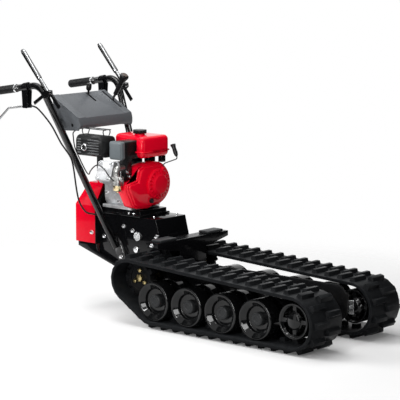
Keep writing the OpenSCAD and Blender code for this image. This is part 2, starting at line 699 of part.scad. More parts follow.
// Handlebar tubes: foot plate, lever ears with their legs, dash bracket and collar
foot_plate_t = 14;
foot_low = [24, 18];
foot_mid = [20, 22];
foot_high = [100, 12];
bar_start_z = bar_foot[2] + 34;
grip_cap = 4;
grip_axis = unit(bar_end - bar_corner);
ear_gap = 8.3;
ear_t = 5;
ear_leg_w = 14;
ear_outline = [[-28, -20], [-28, -4], [-9, 11], [9, 11], [12, -6], [-4, -20]];
ear_block = [[-26, -20], [-11.2, -2]];
saddle_z = 742;
saddle_h = 20;
saddle_half = 12;
saddle_back = 38;
collar_w = 8;
collar_wall = 2;
function strap(a, b, w) = let (d = unit(b - a), n = w / 2 * [-d[1], d[0]]) [a + n, b + n, b - n, a - n];
module lever_ear(s, leg) {
    y_low = -grip_half_y + min(s * ear_gap, s * (ear_gap + ear_t));
    pivot = [lever_pivot[0], lever_pivot[2]];
    side_plate([for (c = ear_outline) pivot + c], y_low, y_low + ear_t);
    side_plate(strap(pivot, leg, ear_leg_w), y_low, y_low + ear_t);
}
module handlebar() {
    rise = unit([bar_corner[0] - bar_foot[0], bar_corner[2] - bar_foot[2]]);
    across = [rise[1], -rise[0]];
    foot = [bar_foot[0], bar_foot[2]];
    bent_bar([bar_at(bar_start_z), bar_corner, bar_end - grip_cap * grip_axis], bar_bend_r, bar_r);
    difference() {
        side_plate([foot - foot_low[0] * rise - foot_low[1] * across,
                    foot - foot_low[0] * rise + foot_low[1] * across,
                    foot + foot_mid[0] * rise + foot_mid[1] * across,
                    foot + foot_high[0] * rise + foot_high[1] * across,
                    foot + foot_high[0] * rise - foot_high[1] * across,
                    foot + foot_mid[0] * rise - foot_mid[1] * across],
                   -bed_half_w - seat_gap - foot_plate_t, -bed_half_w - seat_gap);
        pin_y(foot[0], foot[1], -bed_half_w - 3 * foot_plate_t, -bed_half_w, foot_bolt_r + seat_gap);
    }
    lever_ear(-1, ear_rear_leg);
    lever_ear(1, ear_front_leg);
    translate([lever_pivot[0] + ear_block[0][0], -grip_half_y - ear_gap - ear_t,
               lever_pivot[2] + ear_block[0][1]])
        cube([ear_block[1][0] - ear_block[0][0], 2 * (ear_gap + ear_t), ear_block[1][1] - ear_block[0][1]]);
    pin_y(lever_pivot[0], lever_pivot[2], -grip_half_y - ear_gap - ear_t,
          -grip_half_y + ear_gap + ear_t, lever_pin_r);
    saddle_at = bar_at(saddle_z + saddle_h / 2);
    translate([saddle_at[0], 0, saddle_z]) linear_extrude(saddle_h) polygon([
        [-saddle_half, saddle_at[1]], [saddle_half, saddle_at[1]],
        [saddle_half - saddle_back, -dash_half_w - seat_gap],
        [-saddle_half - saddle_back, -dash_half_w - seat_gap]]);
    collar_at = bar_end - (grip_len + 1) * grip_axis;
    rod(collar_at, collar_at - collar_w * grip_axis, bar_r + collar_wall);
}
module handlebars() color("#1a1b1c") placed() for (side = sides) on_side(side) handlebar();

// Rubber grips, closed at their ends
grip_r = bar_r + grip_wall;
module grips() color("#222426") placed() for (side = sides) on_side(side) difference() {
    rod(bar_end, bar_end - grip_len * grip_axis, grip_r);
    rod(bar_end - grip_cap * grip_axis, bar_end - 2 * grip_len * grip_axis, bar_r + shaft_gap);
}

// Sprung drive lever: hub between the ears and a long bar
lever_bar_r = 8;
lever_hub_r = 10;
hub_half = 8;
module drive_lever(side) color("#c4c8cb") placed() on_side(side) difference() {
    union() {
        pin_y(lever_pivot[0], lever_pivot[2], -grip_half_y - hub_half, -grip_half_y + hub_half, lever_hub_r);
        rod(lever_pivot, lever_tip, lever_bar_r);
    }
    pin_y(lever_pivot[0], lever_pivot[2], -grip_half_y - 20, -grip_half_y + 20, lever_pin_r + shaft_gap);
}

// Bracket clamped under the grip tube and the steering lever in it
side_pin_r = 4;
cheek_gap = 9.3;
cheek_t = 4;
cheek_top_half = 17;
cheek_low_half = 12;
cheek_drop = 8;
clamp_w = 24;
clamp_wall = 4;
stop_ahead = [10, 18];
stop_low = 6;
stop_h = 14;
squeeze_hub_r = 8;
squeeze_r = 4.5;
squeeze_bend = 20;
squeeze_knee = [-105, 0, -15];
squeeze_tip = [-166, 0, -66];
clamp_at = mix(bar_corner, bar_end, (bar_corner[0] - side_pivot[0]) / (bar_corner[0] - bar_end[0]));
module lever_brackets() color("#17181a") placed() for (side = sides) on_side(side) {
    cheek_top_z = clamp_at[2] - bar_r + 1;
    difference() {
        union() {
            rod(clamp_at - clamp_w / 2 * grip_axis, clamp_at + clamp_w / 2 * grip_axis, bar_r + clamp_wall);
            for (s = [-1, 1]) side_plate(
                [[side_pivot[0] - cheek_top_half, cheek_top_z],
                 [side_pivot[0] - cheek_low_half, side_pivot[2] - cheek_drop],
                 [side_pivot[0] + cheek_low_half, side_pivot[2] - cheek_drop],
                 [side_pivot[0] + cheek_top_half, cheek_top_z]],
                -grip_half_y + min(s * cheek_gap, s * (cheek_gap + cheek_t)),
                -grip_half_y + max(s * cheek_gap, s * (cheek_gap + cheek_t)));
        }
        rod(clamp_at - clamp_w * grip_axis, clamp_at + clamp_w * grip_axis, bar_r + shaft_gap);
    }
    pin_y(side_pivot[0], side_pivot[2], -grip_half_y - cheek_gap - cheek_t,
          -grip_half_y + cheek_gap + cheek_t, side_pin_r);
    translate([side_pivot[0] + stop_ahead[0], -grip_half_y - cheek_gap - 1, side_pivot[2] - stop_low])
        cube([stop_ahead[1] - stop_ahead[0], 2 * cheek_gap + 2, stop_h]);
}
module steering_lever(side) color("#8b8f92") placed() on_side(side) difference() {
    union() {
        pin_y(side_pivot[0], side_pivot[2], -grip_half_y - cheek_gap + run_gap,
              -grip_half_y + cheek_gap - run_gap, squeeze_hub_r);
        bent_bar([side_pivot, side_pivot + squeeze_knee, side_pivot + squeeze_tip], squeeze_bend, squeeze_r);
    }
    pin_y(side_pivot[0], side_pivot[2], -grip_half_y - 20, -grip_half_y + 20, side_pin_r + shaft_gap);
}

// Moulded dash, open underneath, with a raised border and two lever slots
dash_front_r = 7;
dash_rear_r = 5;
dash_slot_half = 6;
dash_border = 40;
dash_step = 1.5;
dash_foot_cut = 20;
speed_slot = [-630, -578];
gear_slot = [-630, -524];
dash_hole = [-523, 738];
dash_hole_r = 7;
function dash_top_z(x) = dash_top_rear[1] - (x - dash_top_rear[0]) * tan(dash_slope);
function dash_plan(w) = let (x0 = dash_top_rear[0] + w, x1 = dash_front_low[0] - w, y1 = dash_half_w - w,
                             rf = dash_front_r - w, rr = dash_rear_r - w) concat(
    corner_points(x1 - rf, y1 - rf, rf, 0, 4), corner_points(x0 + rr, y1 - rr, rr, 90, 4),
    corner_points(x0 + rr, rr - y1, rr, 180, 4), corner_points(x1 - rf, rf - y1, rf, 270, 4));
module dash_form(wall, foot) intersection() {
    side_plate([[dash_top_rear[0] + wall, dash_top_z(dash_top_rear[0] + wall) - wall / cos(dash_slope)],
                [dash_top_front[0] - wall, dash_top_z(dash_top_front[0] - wall) - wall / cos(dash_slope)],
                dash_front_low - [wall, 0], dash_front_foot - [wall, foot], dash_rear_foot - [-wall, foot]],
               -dash_half_w + wall, dash_half_w - wall);
    linear_extrude(2 * dash_top_rear[1]) polygon(dash_plan(wall));
}
module dash_slot(y, x) side_plate(
    [[x[0], dash_top_z(x[0]) - 2 * dash_wall], [x[1], dash_top_z(x[1]) - 2 * dash_wall],
     [x[1], dash_top_rear[1]], [x[0], dash_top_rear[1]]], y - dash_slot_half, y + dash_slot_half);
module dash() color("#4c5054") placed() difference() {
    dash_form(0, 0);
    dash_form(dash_wall, dash_foot_cut);
    side_plate([[dash_top_rear[0] - 10, dash_top_z(dash_top_rear[0] - 10) - dash_step],
                [dash_front_low[0] + 10, dash_top_z(dash_front_low[0] + 10) - dash_step],
                [dash_front_low[0] + 10, dash_top_rear[1] + 50],
                [dash_top_rear[0] - 10, dash_top_rear[1] + 50]],
               -dash_half_w + dash_border, dash_half_w - dash_border);
    dash_slot(speed_lever_y, speed_slot);
    dash_slot(gear_lever_y, gear_slot);
    pin_y(dash_hole[0], dash_hole[1], -dash_half_w - 1, -dash_half_w + 2 * dash_wall, dash_hole_r);
}

// Shaft across the dash on which the two dash levers turn
module lever_shaft() color("#7d8184") placed()
    pin_y(dash_shaft[0], dash_shaft[1], -dash_half_w + dash_wall + seat_gap,
          dash_half_w - dash_wall - seat_gap, dash_shaft_r);

// Lever on the dash shaft: hub, rod through the slot and a knob
dash_hub_half = 8;
dash_hub_wall = 5;
dash_rod_bend = 14;
module dash_lever(y, points, r) difference() {
    union() {
        pin_y(dash_shaft[0], dash_shaft[1], y - dash_hub_half, y + dash_hub_half, dash_shaft_r + dash_hub_wall);
        bent_bar([for (p = points) [p[0], y, p[1]]], dash_rod_bend, r);
    }
    pin_y(dash_shaft[0], dash_shaft[1], y - dash_hub_half - 1, y + dash_hub_half + 1, dash_shaft_r + shaft_gap);
}
// Turned knob whose axis follows the last stretch of the rod
module knob(y, points, down, profile) {
    top = points[len(points) - 1];
    axis = unit(top - points[len(points) - 2]);
    foot = top - down * axis;
    translate([foot[0], y, foot[1]]) rotate([0, atan2(axis[0], axis[1]), 0]) rotate_extrude() polygon(profile);
}
gear_rod_r = 5;
speed_rod_r = 4.5;
gear_lever_path = [dash_shaft, [-572, 817], [-519, 896]];
speed_lever_path = [dash_shaft, [-622, 836], [-618, 866]];
gear_knob = [[0, 0], [9, 0], [11, 8], [19, 36], [18, 42], [12, 46], [0, 47]];
speed_knob = [[0, 0], [8, 0], [11, 6], [11, 24], [8, 29], [0, 30]];
module gear_lever() color("#1c1e1f") placed() {
    dash_lever(gear_lever_y, gear_lever_path, gear_rod_r);
    knob(gear_lever_y, gear_lever_path, 14, gear_knob);
}
module speed_lever() color("#1c1e1f") placed() {
    dash_lever(speed_lever_y, speed_lever_path, speed_rod_r);
    knob(speed_lever_y, speed_lever_path, 8, speed_knob);
}

// Engine foot frame on the bed: sheet with two rails and a front wall
base_x = [-424, -212];
base_y = [-96, 81];
base_t = 8;
rail_x = [-416, -220];
rail_y = [-86, 34];
rail_w = 36;
base_wall = 10;
module engine_base() color("#151617") placed() {
    rail_h = foot_z - bed_top_z - 2 * seat_gap;
    translate([base_x[0], base_y[0], bed_top_z + seat_gap])
        cube([base_x[1] - base_x[0], base_y[1] - base_y[0], base_t]);
    for (y = rail_y) translate([rail_x[0], y, bed_top_z + seat_gap])
        cube([rail_x[1] - rail_x[0], rail_w, rail_h]);
    translate([rail_x[1] - base_wall, rail_y[0], bed_top_z + seat_gap])
        cube([base_wall, rail_y[1] + rail_w - rail_y[0], rail_h]);
}

// Silver crankcase with its foot flange, side cover and shaft bore
case_rear_x = -418;
case_front_x = -262;
case_foot_y = [-92, 76];
case_foot_t = 13;
case_y = [-78, 80];
case_over = 58;
case_corner = 38;
case_cover_r = 72;
case_nose_r = 24;
case_bolt_circle = 64;
case_bolt_r = 7;
module crankcase() color("#b4b8ba") placed() difference() {
    union() {
        cross_plate(round_rect(case_foot_y[0], foot_z, case_foot_y[1], foot_z + case_foot_t, 3),
                    case_rear_x, case_front_x);
        cross_plate(round_rect(case_y[0], foot_z + 2, case_y[1], crank_z + case_over, case_corner),
                    case_rear_x, case_front_x);
        pin_x(0, crank_z, case_rear_x - 8, case_rear_x + 10, case_cover_r);
        pin_x(0, crank_z, case_rear_x - 16, case_rear_x, case_nose_r);
        for (a = [30 : 60 : 330]) pin_x(case_bolt_circle * cos(a), crank_z + case_bolt_circle * sin(a),
                                         case_rear_x - 11, case_rear_x, case_bolt_r);
    }
    pin_x(0, crank_z, case_rear_x - 20, nose_bore_x, crank_shaft_r + shaft_gap);
}

// Finned cylinder and head, leaning up towards the machine's right
cylinder_lean = 18;
cylinder_x = -316;
barrel_half = 40;
barrel_y = [-172, -83];
fin_half = 46;
fin_pitch = 12;
fin_count = 7;
fin_t = 5;
fin_first_y = -92;
head_half = 40;
head_t = 26;
module engine_cylinder() color("#a7abad") placed()
    translate([cylinder_x, 0, crank_z]) rotate([-cylinder_lean, 0, 0]) {
        translate([-barrel_half, barrel_y[0], -barrel_half])
            cube([2 * barrel_half, barrel_y[1] - barrel_y[0], 2 * barrel_half]);
        for (k = [0 : fin_count - 1]) translate([0, fin_first_y - k * fin_pitch, 0]) rotate([90, 0, 0])
            linear_extrude(fin_t) polygon(round_rect(-fin_half, -fin_half + 2, fin_half, fin_half - 2, 9, 2));
        translate([0, barrel_y[0] + 1, 0]) rotate([90, 0, 0])
            linear_extrude(head_t) polygon(round_rect(-head_half, -head_half, head_half, head_half, 8));
    }

// Red fan housing: round over the flywheel, drawn out over the cylinder, with
// two steps towards its front
fan_rear_x = -261.8;
fan_front_x = -204;
fan_step = 7;
fan_inset = [5, 12];
fan_duct = [[-40, -95], [-112, -90], [-134, -80], [-171, -12], [-170, 14], [-112, 26], [-103, 70], [-80, 82]];
duct_inset = [[0, 1], [0, 1], [0.5, 1], [1, 0.5], [1, -0.5], [0.5, -1], [1, -1], [1, -1]];
function fan_outline(t) = concat(
    [for (k = [0 : 20]) let (a = 100 - 200 * k / 20) (fan_radius - t) * [cos(a), sin(a)] + [0, crank_z]],
    [for (k = [0 : len(fan_duct) - 1]) [0, crank_z] + fan_duct[k] + t * duct_inset[k]]);
module fan_housing() color("#c8102e") placed() {
    cross_plate(fan_outline(0), fan_rear_x, fan_front_x - 2 * fan_step);
    cross_plate(fan_outline(fan_inset[0]), fan_front_x - 2 * fan_step, fan_front_x - fan_step);
    cross_plate(fan_outline(fan_inset[1]), fan_front_x - fan_step, fan_front_x);
}

// Red recoil starter housing with radial vents, a raised centre and a nose
// on its rim where the rope comes out
recoil_centre_r = 36;
recoil_rim_t = 6;
recoil_ring_t = 16;
recoil_h = 22;
vent_count = 20;
vent_in = [18, 5];
vent_half = 3;
vent_floor = 9;
rope_nose_r = 6.5;
rope_nose_angle = 70;
rope_nose_end = recoil_radius + 8;
rope_nose_x = fan_front_x + seat_gap + rope_nose_r + 1;
function on_rim(r) = [rope_nose_x, r * cos(rope_nose_angle), crank_z + r * sin(rope_nose_angle)];
module recoil_starter() color("#c8102e") placed() {
    translate([fan_front_x + seat_gap, 0, crank_z]) rotate([0, 90, 0]) difference() {
        rotate_extrude($fn = 72) polygon([[0, 0], [recoil_radius, 0], [recoil_radius, recoil_rim_t],
            [recoil_radius - 5, recoil_rim_t + 5], [recoil_centre_r + 5, recoil_ring_t],
            [recoil_centre_r, recoil_h - 1], [recoil_centre_r - 5, recoil_h], [0, recoil_h]]);
        for (k = [0 : vent_count - 1]) rotate(k * 360 / vent_count)
            translate([recoil_radius - vent_in[0], -vent_half, vent_floor])
                cube([vent_in[0] - vent_in[1], 2 * vent_half, recoil_h]);
    }
    rod(on_rim(recoil_radius - 8), on_rim(rope_nose_end), rope_nose_r);
}

// Rounded block between two corners
module pebble(low, high, r) hull() for (x = [low[0] + r, high[0] - r], y = [low[1] + r, high[1] - r],
    z = [low[2] + r, high[2] - r]) translate([x, y, z]) sphere(r, $fn = 20);

// Red fuel tank with its seam flange and filler neck; its right side steps back
// round the air cleaner
tank_low = [-388, -100, foot_z + 212];
tank_high = [-192, tank_low[1] + tank_w, tank_low[2] + tank_h];
tank_step = [-234, -56];
tank_corner = 18;
seam_at = 22;
seam_t = 4;
seam_out = 4;
neck = [-280, tank_low[1] + tank_w / 2];
neck_r = 20;
neck_h = 5;
cap_r = 27;
cap_h = 14;
cap_grooves = 12;
cap_groove_r = 3.5;
module fuel_tank() color("#c8102e") placed() {
    pebble([tank_low[0], tank_step[1], tank_low[2]], tank_high, tank_corner);
    pebble([tank_step[0], tank_low[1], tank_low[2]], tank_high, tank_corner);
    translate([0, 0, tank_low[2] + seam_at]) linear_extrude(seam_t) {
        polygon(round_rect(tank_low[0] - seam_out, tank_step[1] - seam_out, tank_high[0] + seam_out,
                           tank_high[1] + seam_out, tank_corner));
        polygon(round_rect(tank_step[0] - seam_out, tank_low[1] - seam_out, tank_high[0] + seam_out,
                           tank_high[1] + seam_out, tank_corner));
    }
    translate([neck[0], neck[1], tank_high[2] - 2]) cylinder(h = neck_h + 2, r = neck_r);
}
module tank_cap() color("#1a1c1d") placed() translate([neck[0], neck[1], tank_high[2] + neck_h + seat_gap])
    difference() {
        cylinder(h = cap_h, r = cap_r);
        for (k = [0 : cap_grooves - 1]) rotate(k * 360 / cap_grooves) translate([cap_r + 0.5, 0, -1])
            cylinder(h = cap_h + 2, r = cap_groove_r);
    }

// Posts that carry the tank on the crankcase, and its front bracket over the fan housing
post_size = [24, 40];
post_x = [22, 92];
post_y = 22;
front_post = [-226, 28];
front_post_size = [20, 22];
module tank_brackets() color("#141516") placed() {
    for (x = post_x) translate([tank_low[0] + x, post_y, crank_z + case_over + seat_gap])
        cube([post_size[0], post_size[1], tank_low[2] - crank_z - case_over - 2 * seat_gap]);
    front_low = crank_z + sqrt(fan_radius * fan_radius - front_post[1] * front_post[1]) + seat_gap;
    translate([front_post[0], front_post[1], front_low])
        cube([front_post_size[0], front_post_size[1], tank_low[2] - seat_gap - front_low]);
}

// Air cleaner: black case with its elbow and the grey cover on its outer side
cleaner_x = [-306, -240];
cleaner_y = [-150, -64];
cleaner_low_z = foot_z + 210;
cleaner_top_z = cleaner_low_z + 70;
cleaner_corner = 8;
elbow_x = [-268, -240];
elbow_y = [-150, -112];
elbow_low_z = crank_z + 26;
cover_depth = 18;
cover_face = 4;
cover_lip = 1;
module air_cleaner_case() color("#131415") placed() {
    translate([0, cleaner_y[1], 0]) rotate([90, 0, 0]) linear_extrude(cleaner_y[1] - cleaner_y[0])
        polygon(round_rect(cleaner_x[0], cleaner_low_z, cleaner_x[1], cleaner_top_z, cleaner_corner));
    translate([elbow_x[0], elbow_y[0], elbow_low_z])
        cube([elbow_x[1] - elbow_x[0], elbow_y[1] - elbow_y[0], cleaner_low_z + cleaner_corner - elbow_low_z]);
}
module air_cleaner_cover() color("#84898c") placed() {
    translate([0, cleaner_y[0] - seat_gap, 0]) rotate([90, 0, 0]) linear_extrude(cover_depth)
        polygon(round_rect(cleaner_x[0] - cover_lip, cleaner_low_z - cover_lip, cleaner_x[1] + cover_lip,
                           cleaner_top_z + cover_lip, cleaner_corner + cover_lip));
    translate([0, cleaner_y[0] - seat_gap - cover_depth, 0]) rotate([90, 0, 0]) linear_extrude(cover_face)
        polygon(round_rect(cleaner_x[0] + cover_face, cleaner_low_z + cover_face, cleaner_x[1] - cover_face,
                           cleaner_top_z - cover_face, cleaner_corner - 1));
}

// Muffler with its outlet, wire guard and the pipe from the cylinder head
muffler_low = [-470, -188, foot_z + 212];
muffler_high = [-332, -106, foot_z + 296];
muffler_corner = 24;
outlet = [-421, foot_z + 249];
outlet_r = 14;
outlet_bore = 10;
outlet_out = 8;
pipe_at = [-394, -130];
pipe_rise = 48;
pipe_r = 13;
pipe_bend = 16;
louvre_count = 5;
louvre_pitch = 9;
louvre_size = [24, 4, 4];
louvre_at = [14, 22];
wire_r = 2;
wire_bend = 9;
wire_in = 12;
wire_foot = [30, 26];
wire_side = [20, 12];
wire_top = muffler_high[2] + 24;
module wire_guard() {
    for (x = [muffler_low[0] + wire_in, muffler_high[0] - wire_in]) bent_bar(
        [[x, muffler_low[1] + wire_foot[0], muffler_high[2] - 2],
         [x, muffler_low[1] + wire_side[0], wire_top], [x, muffler_high[1] - wire_side[1], wire_top],
         [x, muffler_high[1] - wire_foot[1], muffler_high[2] - 2]], wire_bend, wire_r);
    for (y = [muffler_low[1] + wire_foot[0], muffler_high[1] - 22])
        pin_x(y, wire_top, muffler_low[0] + 4, muffler_high[0] - 4, wire_r);
}
module muffler() color("#5d6164") placed() difference() {
    union() {
        wire_guard();
        cross_plate(round_rect(muffler_low[1], muffler_low[2], muffler_high[1], muffler_high[2],
                               muffler_corner, 5), muffler_low[0], muffler_high[0]);
        pin_y(outlet[0], outlet[1], muffler_low[1] - outlet_out, muffler_low[1] + 10, outlet_r);
        bent_bar([[cylinder_x - fin_half - seat_gap, pipe_at[1], crank_z + pipe_rise],
                  [pipe_at[0], pipe_at[1], crank_z + pipe_rise], [pipe_at[0], pipe_at[1], muffler_low[2] + 6]],
                 pipe_bend, pipe_r);
    }
    pin_y(outlet[0], outlet[1], muffler_low[1] - outlet_out - 1, muffler_low[1] + 6, outlet_bore);
    for (k = [0 : louvre_count - 1])
        translate([muffler_low[0] + louvre_at[0], muffler_low[1] - 1,
                   muffler_low[2] + louvre_at[1] + k * louvre_pitch]) cube(louvre_size);
}

// Carburettor with its bowl, inlet pipe and the pipe into the air cleaner's elbow
carb = [-244, -190, crank_z + 26];
carb_half = 18;
carb_y = [-14, 18];
carb_z = [-16, 18];
bowl_r = 16;
bowl_low = 38;
bowl_h = 24;
drain_r = 5;
drain_low = 44;
inlet_r = 10;
air_pipe_r = 11;
air_pipe_x = -6;
air_pipe_rise = 50;
air_pipe_bend = 14;
module carburettor() color("#b3b0a2") placed() {
    translate([carb[0] - carb_half, carb[1] + carb_y[0], carb[2] + carb_z[0]])
        cube([2 * carb_half, carb_y[1] - carb_y[0], carb_z[1] - carb_z[0]]);
    translate([carb[0], carb[1], carb[2] - bowl_low]) cylinder(h = bowl_h, r = bowl_r);
    translate([carb[0], carb[1], carb[2] - drain_low]) cylinder(h = 8, r = drain_r);
    pin_x(carb[1], carb[2], cylinder_x + head_half + seat_gap, carb[0], inlet_r);
    bent_bar([carb + [air_pipe_x, 0, 0], carb + [air_pipe_x, 0, air_pipe_rise],
              [carb[0] + air_pipe_x, elbow_y[0] - seat_gap, carb[2] + air_pipe_rise]],
             air_pipe_bend, air_pipe_r);
}

// Choke lever on the carburettor and the stop switch on the fan housing
choke_up = 8;
choke_hub = [6, 6];
choke_bar = [4, 6, 34];
module choke_lever() color("#c7cacc") placed() {
    pin_x(carb[1], carb[2] + choke_up, carb[0] + carb_half + seat_gap, carb[0] + carb_half + choke_hub[0],
          choke_hub[1]);
    translate([carb[0] + carb_half + seat_gap, carb[1] - choke_bar[1] / 2, carb[2] + choke_up])
        cube(choke_bar);
}
switch_at = [-40, crank_z - 63];
switch_r = 9.5;
switch_t = 6;
switch_bar = [8, 5, 17];
module stop_switch() color("#1d1f20") placed() {
    pin_x(switch_at[0], switch_at[1], fan_front_x + seat_gap, fan_front_x + switch_t, switch_r);
    translate([fan_front_x + switch_t - 1, switch_at[0] - switch_bar[1] / 2, switch_at[1] - switch_bar[2] / 2])
        cube(switch_bar);
}

// Starter grip in front of the tank and its rope from the recoil housing
pull_foot = [-157, 60, foot_z + 214];
pull_axis = unit([-0.4, 0, 0.9]);
grip_foot = 4;
pull_profile = [[0, -grip_foot], [3.5, -grip_foot], [7, 2], [9, 14], [8, 30], [9.5, 42], [6, 47], [0, 48]];
pull_head = [12, 18, 8];
module starter_grip() color("#1b1d1e") placed() translate(pull_foot)
    rotate([0, acos(pull_axis[2]), atan2(pull_axis[1], pull_axis[0])]) {
        rotate_extrude() polygon(pull_profile);
        translate([-pull_head[0] / 2, -pull_head[1] / 2, 40]) cube(pull_head);
    }
rope_r = 2.2;
module starter_rope() color("#26282a") placed() bent_bar(
    [on_rim(rope_nose_end + run_gap), on_rim(rope_nose_end + 14), pull_foot - (grip_foot + 9) * pull_axis,
     pull_foot - (grip_foot + run_gap) * pull_axis], 6, rope_r);

// Smooth route through points, swept as a tube with flat ends
function spline(a, b, c, d, t) = 0.5 * (2 * b + (c - a) * t + (2 * a - 5 * b + 4 * c - d) * t * t
    + (3 * b - a - 3 * c + d) * t * t * t);
function smooth(p, steps) = let (n = len(p)) concat(
    [for (i = [0 : n - 2], k = [0 : steps - 1]) spline(p[max(i - 1, 0)], p[i], p[i + 1], p[min(i + 2, n - 1)],
        k / steps)], [p[n - 1]]);
cable_sides = 8;
function tube_ring(p, i, r) =
    let (n = len(p), d = unit(p[min(i + 1, n - 1)] - p[max(i - 1, 0)]), u = unit(cross(d, [0.3, 1, 0.2])),
         v = cross(d, u))
    [for (k = [0 : cable_sides - 1]) let (a = 360 * k / cable_sides) p[i] + r * (cos(a) * u + sin(a) * v)];
module cable_tube(points, steps, r) {
    p = smooth(points, steps);
    n = len(p);
    s = cable_sides;
    polyhedron(points = [for (i = [0 : n - 1]) each tube_ring(p, i, r)], faces = concat(
        [[for (k = [0 : s - 1]) k]], [[for (k = [0 : s - 1]) n * s - 1 - k]],
        [for (i = [0 : n - 2], k = [0 : s - 1]) each let (m = (k + 1) % s)
            [[i * s + k, (i + 1) * s + k, i * s + m], [i * s + m, (i + 1) * s + k, (i + 1) * s + m]]]));
}
cable_r = 3.5;
throttle_r = 2.5;
clutch_route = [
    [-692, -grip_half_y, bend_z - 82], [-654, -grip_half_y, bend_z - 88], by_bar(767, -34.9, -21.1),
    by_bar(729, -17.1, -24.5), by_bar(671, -9, -26.3), by_bar(629, 3.9, -24.4), by_bar(600, 1, -21.3),
    by_bar(550, -24, -16.8), by_bar(493, -55.4, -12.4), by_bar(432, -83.7, -6.7),
    [-472, -134, 391], [-446, -124, 384], [-431, -106, 380], [-428, -89, 378]];
module clutch_cables() color("#1e2021") placed() for (side = sides) on_side(side)
    cable_tube(clutch_route, 2, cable_r);
throttle_route = [
    [-582, 14, 738], [-574, -20, 722], [-560, -80, 714], [-546, -124, 706], by_bar(690, 2.2, 44.9),
    by_bar(650, 1, 28.1), by_bar(610, 3.8, 23.4), by_bar(570, 6.6, 21.6), by_bar(546, 20, 12.6),
    [-420, -166, 552], [-397, -184, 566], [-364, -198, 588], [-330, -206, 600], [-290, -216, 588],
    [-262, -221, 564], carb + [-8, -26, 7], carb + [-7, -15, 4]];
module throttle_cable() color("#1e2021") placed() cable_tube(throttle_route, 2, throttle_r);

// Zinc-plated bolts of the bed, beam, cover and engine foot, with the slotted
// level gauge and the breather cap on the right of the bed
foot_bolt_r = 5;
foot_nut_r = 9;
foot_nut_h = 8;
bed_bolt_r = 8;
bed_bolt_h = 7;
bed_bolts = [[-306, 345], [-414, 293], [-130, 321], [-159, 286], [-258, 332]];
cover_bolt = [-461, 306];
cover_bolt_r = 7;
cover_bolt_h = 6;
foot_bolts = [[-276, -91], [-250, -91], [-276, 75.5], [-232, 75.5]];
top_bolts = [[-168, -62], [-164, 70]];
small_bolt_r = 3.5;
small_bolt_h = 8;
beam_pin_r = 7;
beam_pin_h = 9;
gauge_at = [-230, 312];
gauge_r = 18;
gauge_h = 9;
gauge_slot = [8, 10, 44];
gauge_turn = 35;
breather_at = [-238, 258];
breather_r = 13;
module bed_fittings() color("#dfe2e4") placed() {
    for (side = sides) on_side(side) {
        for (p = bed_bolts) pin_y(p[0], p[1], -bed_half_w - bed_bolt_h, -bed_half_w - seat_gap, bed_bolt_r);
        pin_y(bar_foot[0], bar_foot[2], -bed_half_w - foot_plate_t - foot_nut_h, -bed_half_w - seat_gap,
              foot_bolt_r);
        pin_y(bar_foot[0], bar_foot[2], -bed_half_w - foot_plate_t - foot_nut_h,
              -bed_half_w - foot_plate_t - 2 * seat_gap, foot_nut_r);
        pin_y(cover_bolt[0], cover_bolt[1], -cover_half_w - cover_bolt_h, -cover_half_w - seat_gap,
              cover_bolt_r);
        pin_y(beam_rear_x + beam_depth / 2, beam_top_z - beam_end_h / 2, -beam_half_w - beam_pin_h,
              -beam_half_w - seat_gap, beam_pin_r);
    }
    for (p = foot_bolts) translate([p[0], p[1], bed_top_z + base_t + 2 * seat_gap])
        cylinder(h = small_bolt_h, r = small_bolt_r);
    for (p = top_bolts) translate([p[0], p[1], bed_top_z + seat_gap])
        cylinder(h = small_bolt_h, r = small_bolt_r + 1);
    difference() {
        pin_y(gauge_at[0], gauge_at[1], -bed_half_w - gauge_h, -bed_half_w - seat_gap, gauge_r);
        translate([gauge_at[0], -bed_half_w - gauge_h - 1, gauge_at[1]]) rotate([0, gauge_turn, 0])
            cube(gauge_slot, center = true);
    }
    pin_y(breather_at[0], breather_at[1], -bed_half_w - bed_bolt_h, -bed_half_w - seat_gap, breather_r);
}

for (side = sides) {
    track(side);
    sprocket(side);
    drive_axle(side);
    idler(side);
    drive_lever(side);
    steering_lever(side);
    for (k = [1 : wheel_count])
        road_wheel(side, k);
}
main_frame();
gearbox();
engine_bed();
rear_guard();
bed_beam();
bed_pads();
bed_fittings();
belt_plate();
belt_cover();
crankshaft();
crank_pulley();
input_pulley();
drive_belt();
road_axles();
idler_tensioners();
handlebars();
grips();
lever_brackets();
dash();
lever_shaft();
gear_lever();
speed_lever();
clutch_cables();
throttle_cable();
engine_base();
crankcase();
engine_cylinder();
fan_housing();
recoil_starter();
stop_switch();
fuel_tank();
tank_cap();
tank_brackets();
air_cleaner_case();
air_cleaner_cover();
muffler();
carburettor();
choke_lever();
starter_grip();
starter_rope();
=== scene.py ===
"""Looks of a tracked power carrier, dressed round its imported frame."""
import json
import math

import bpy
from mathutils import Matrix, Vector
from mathutils.geometry import interpolate_bezier


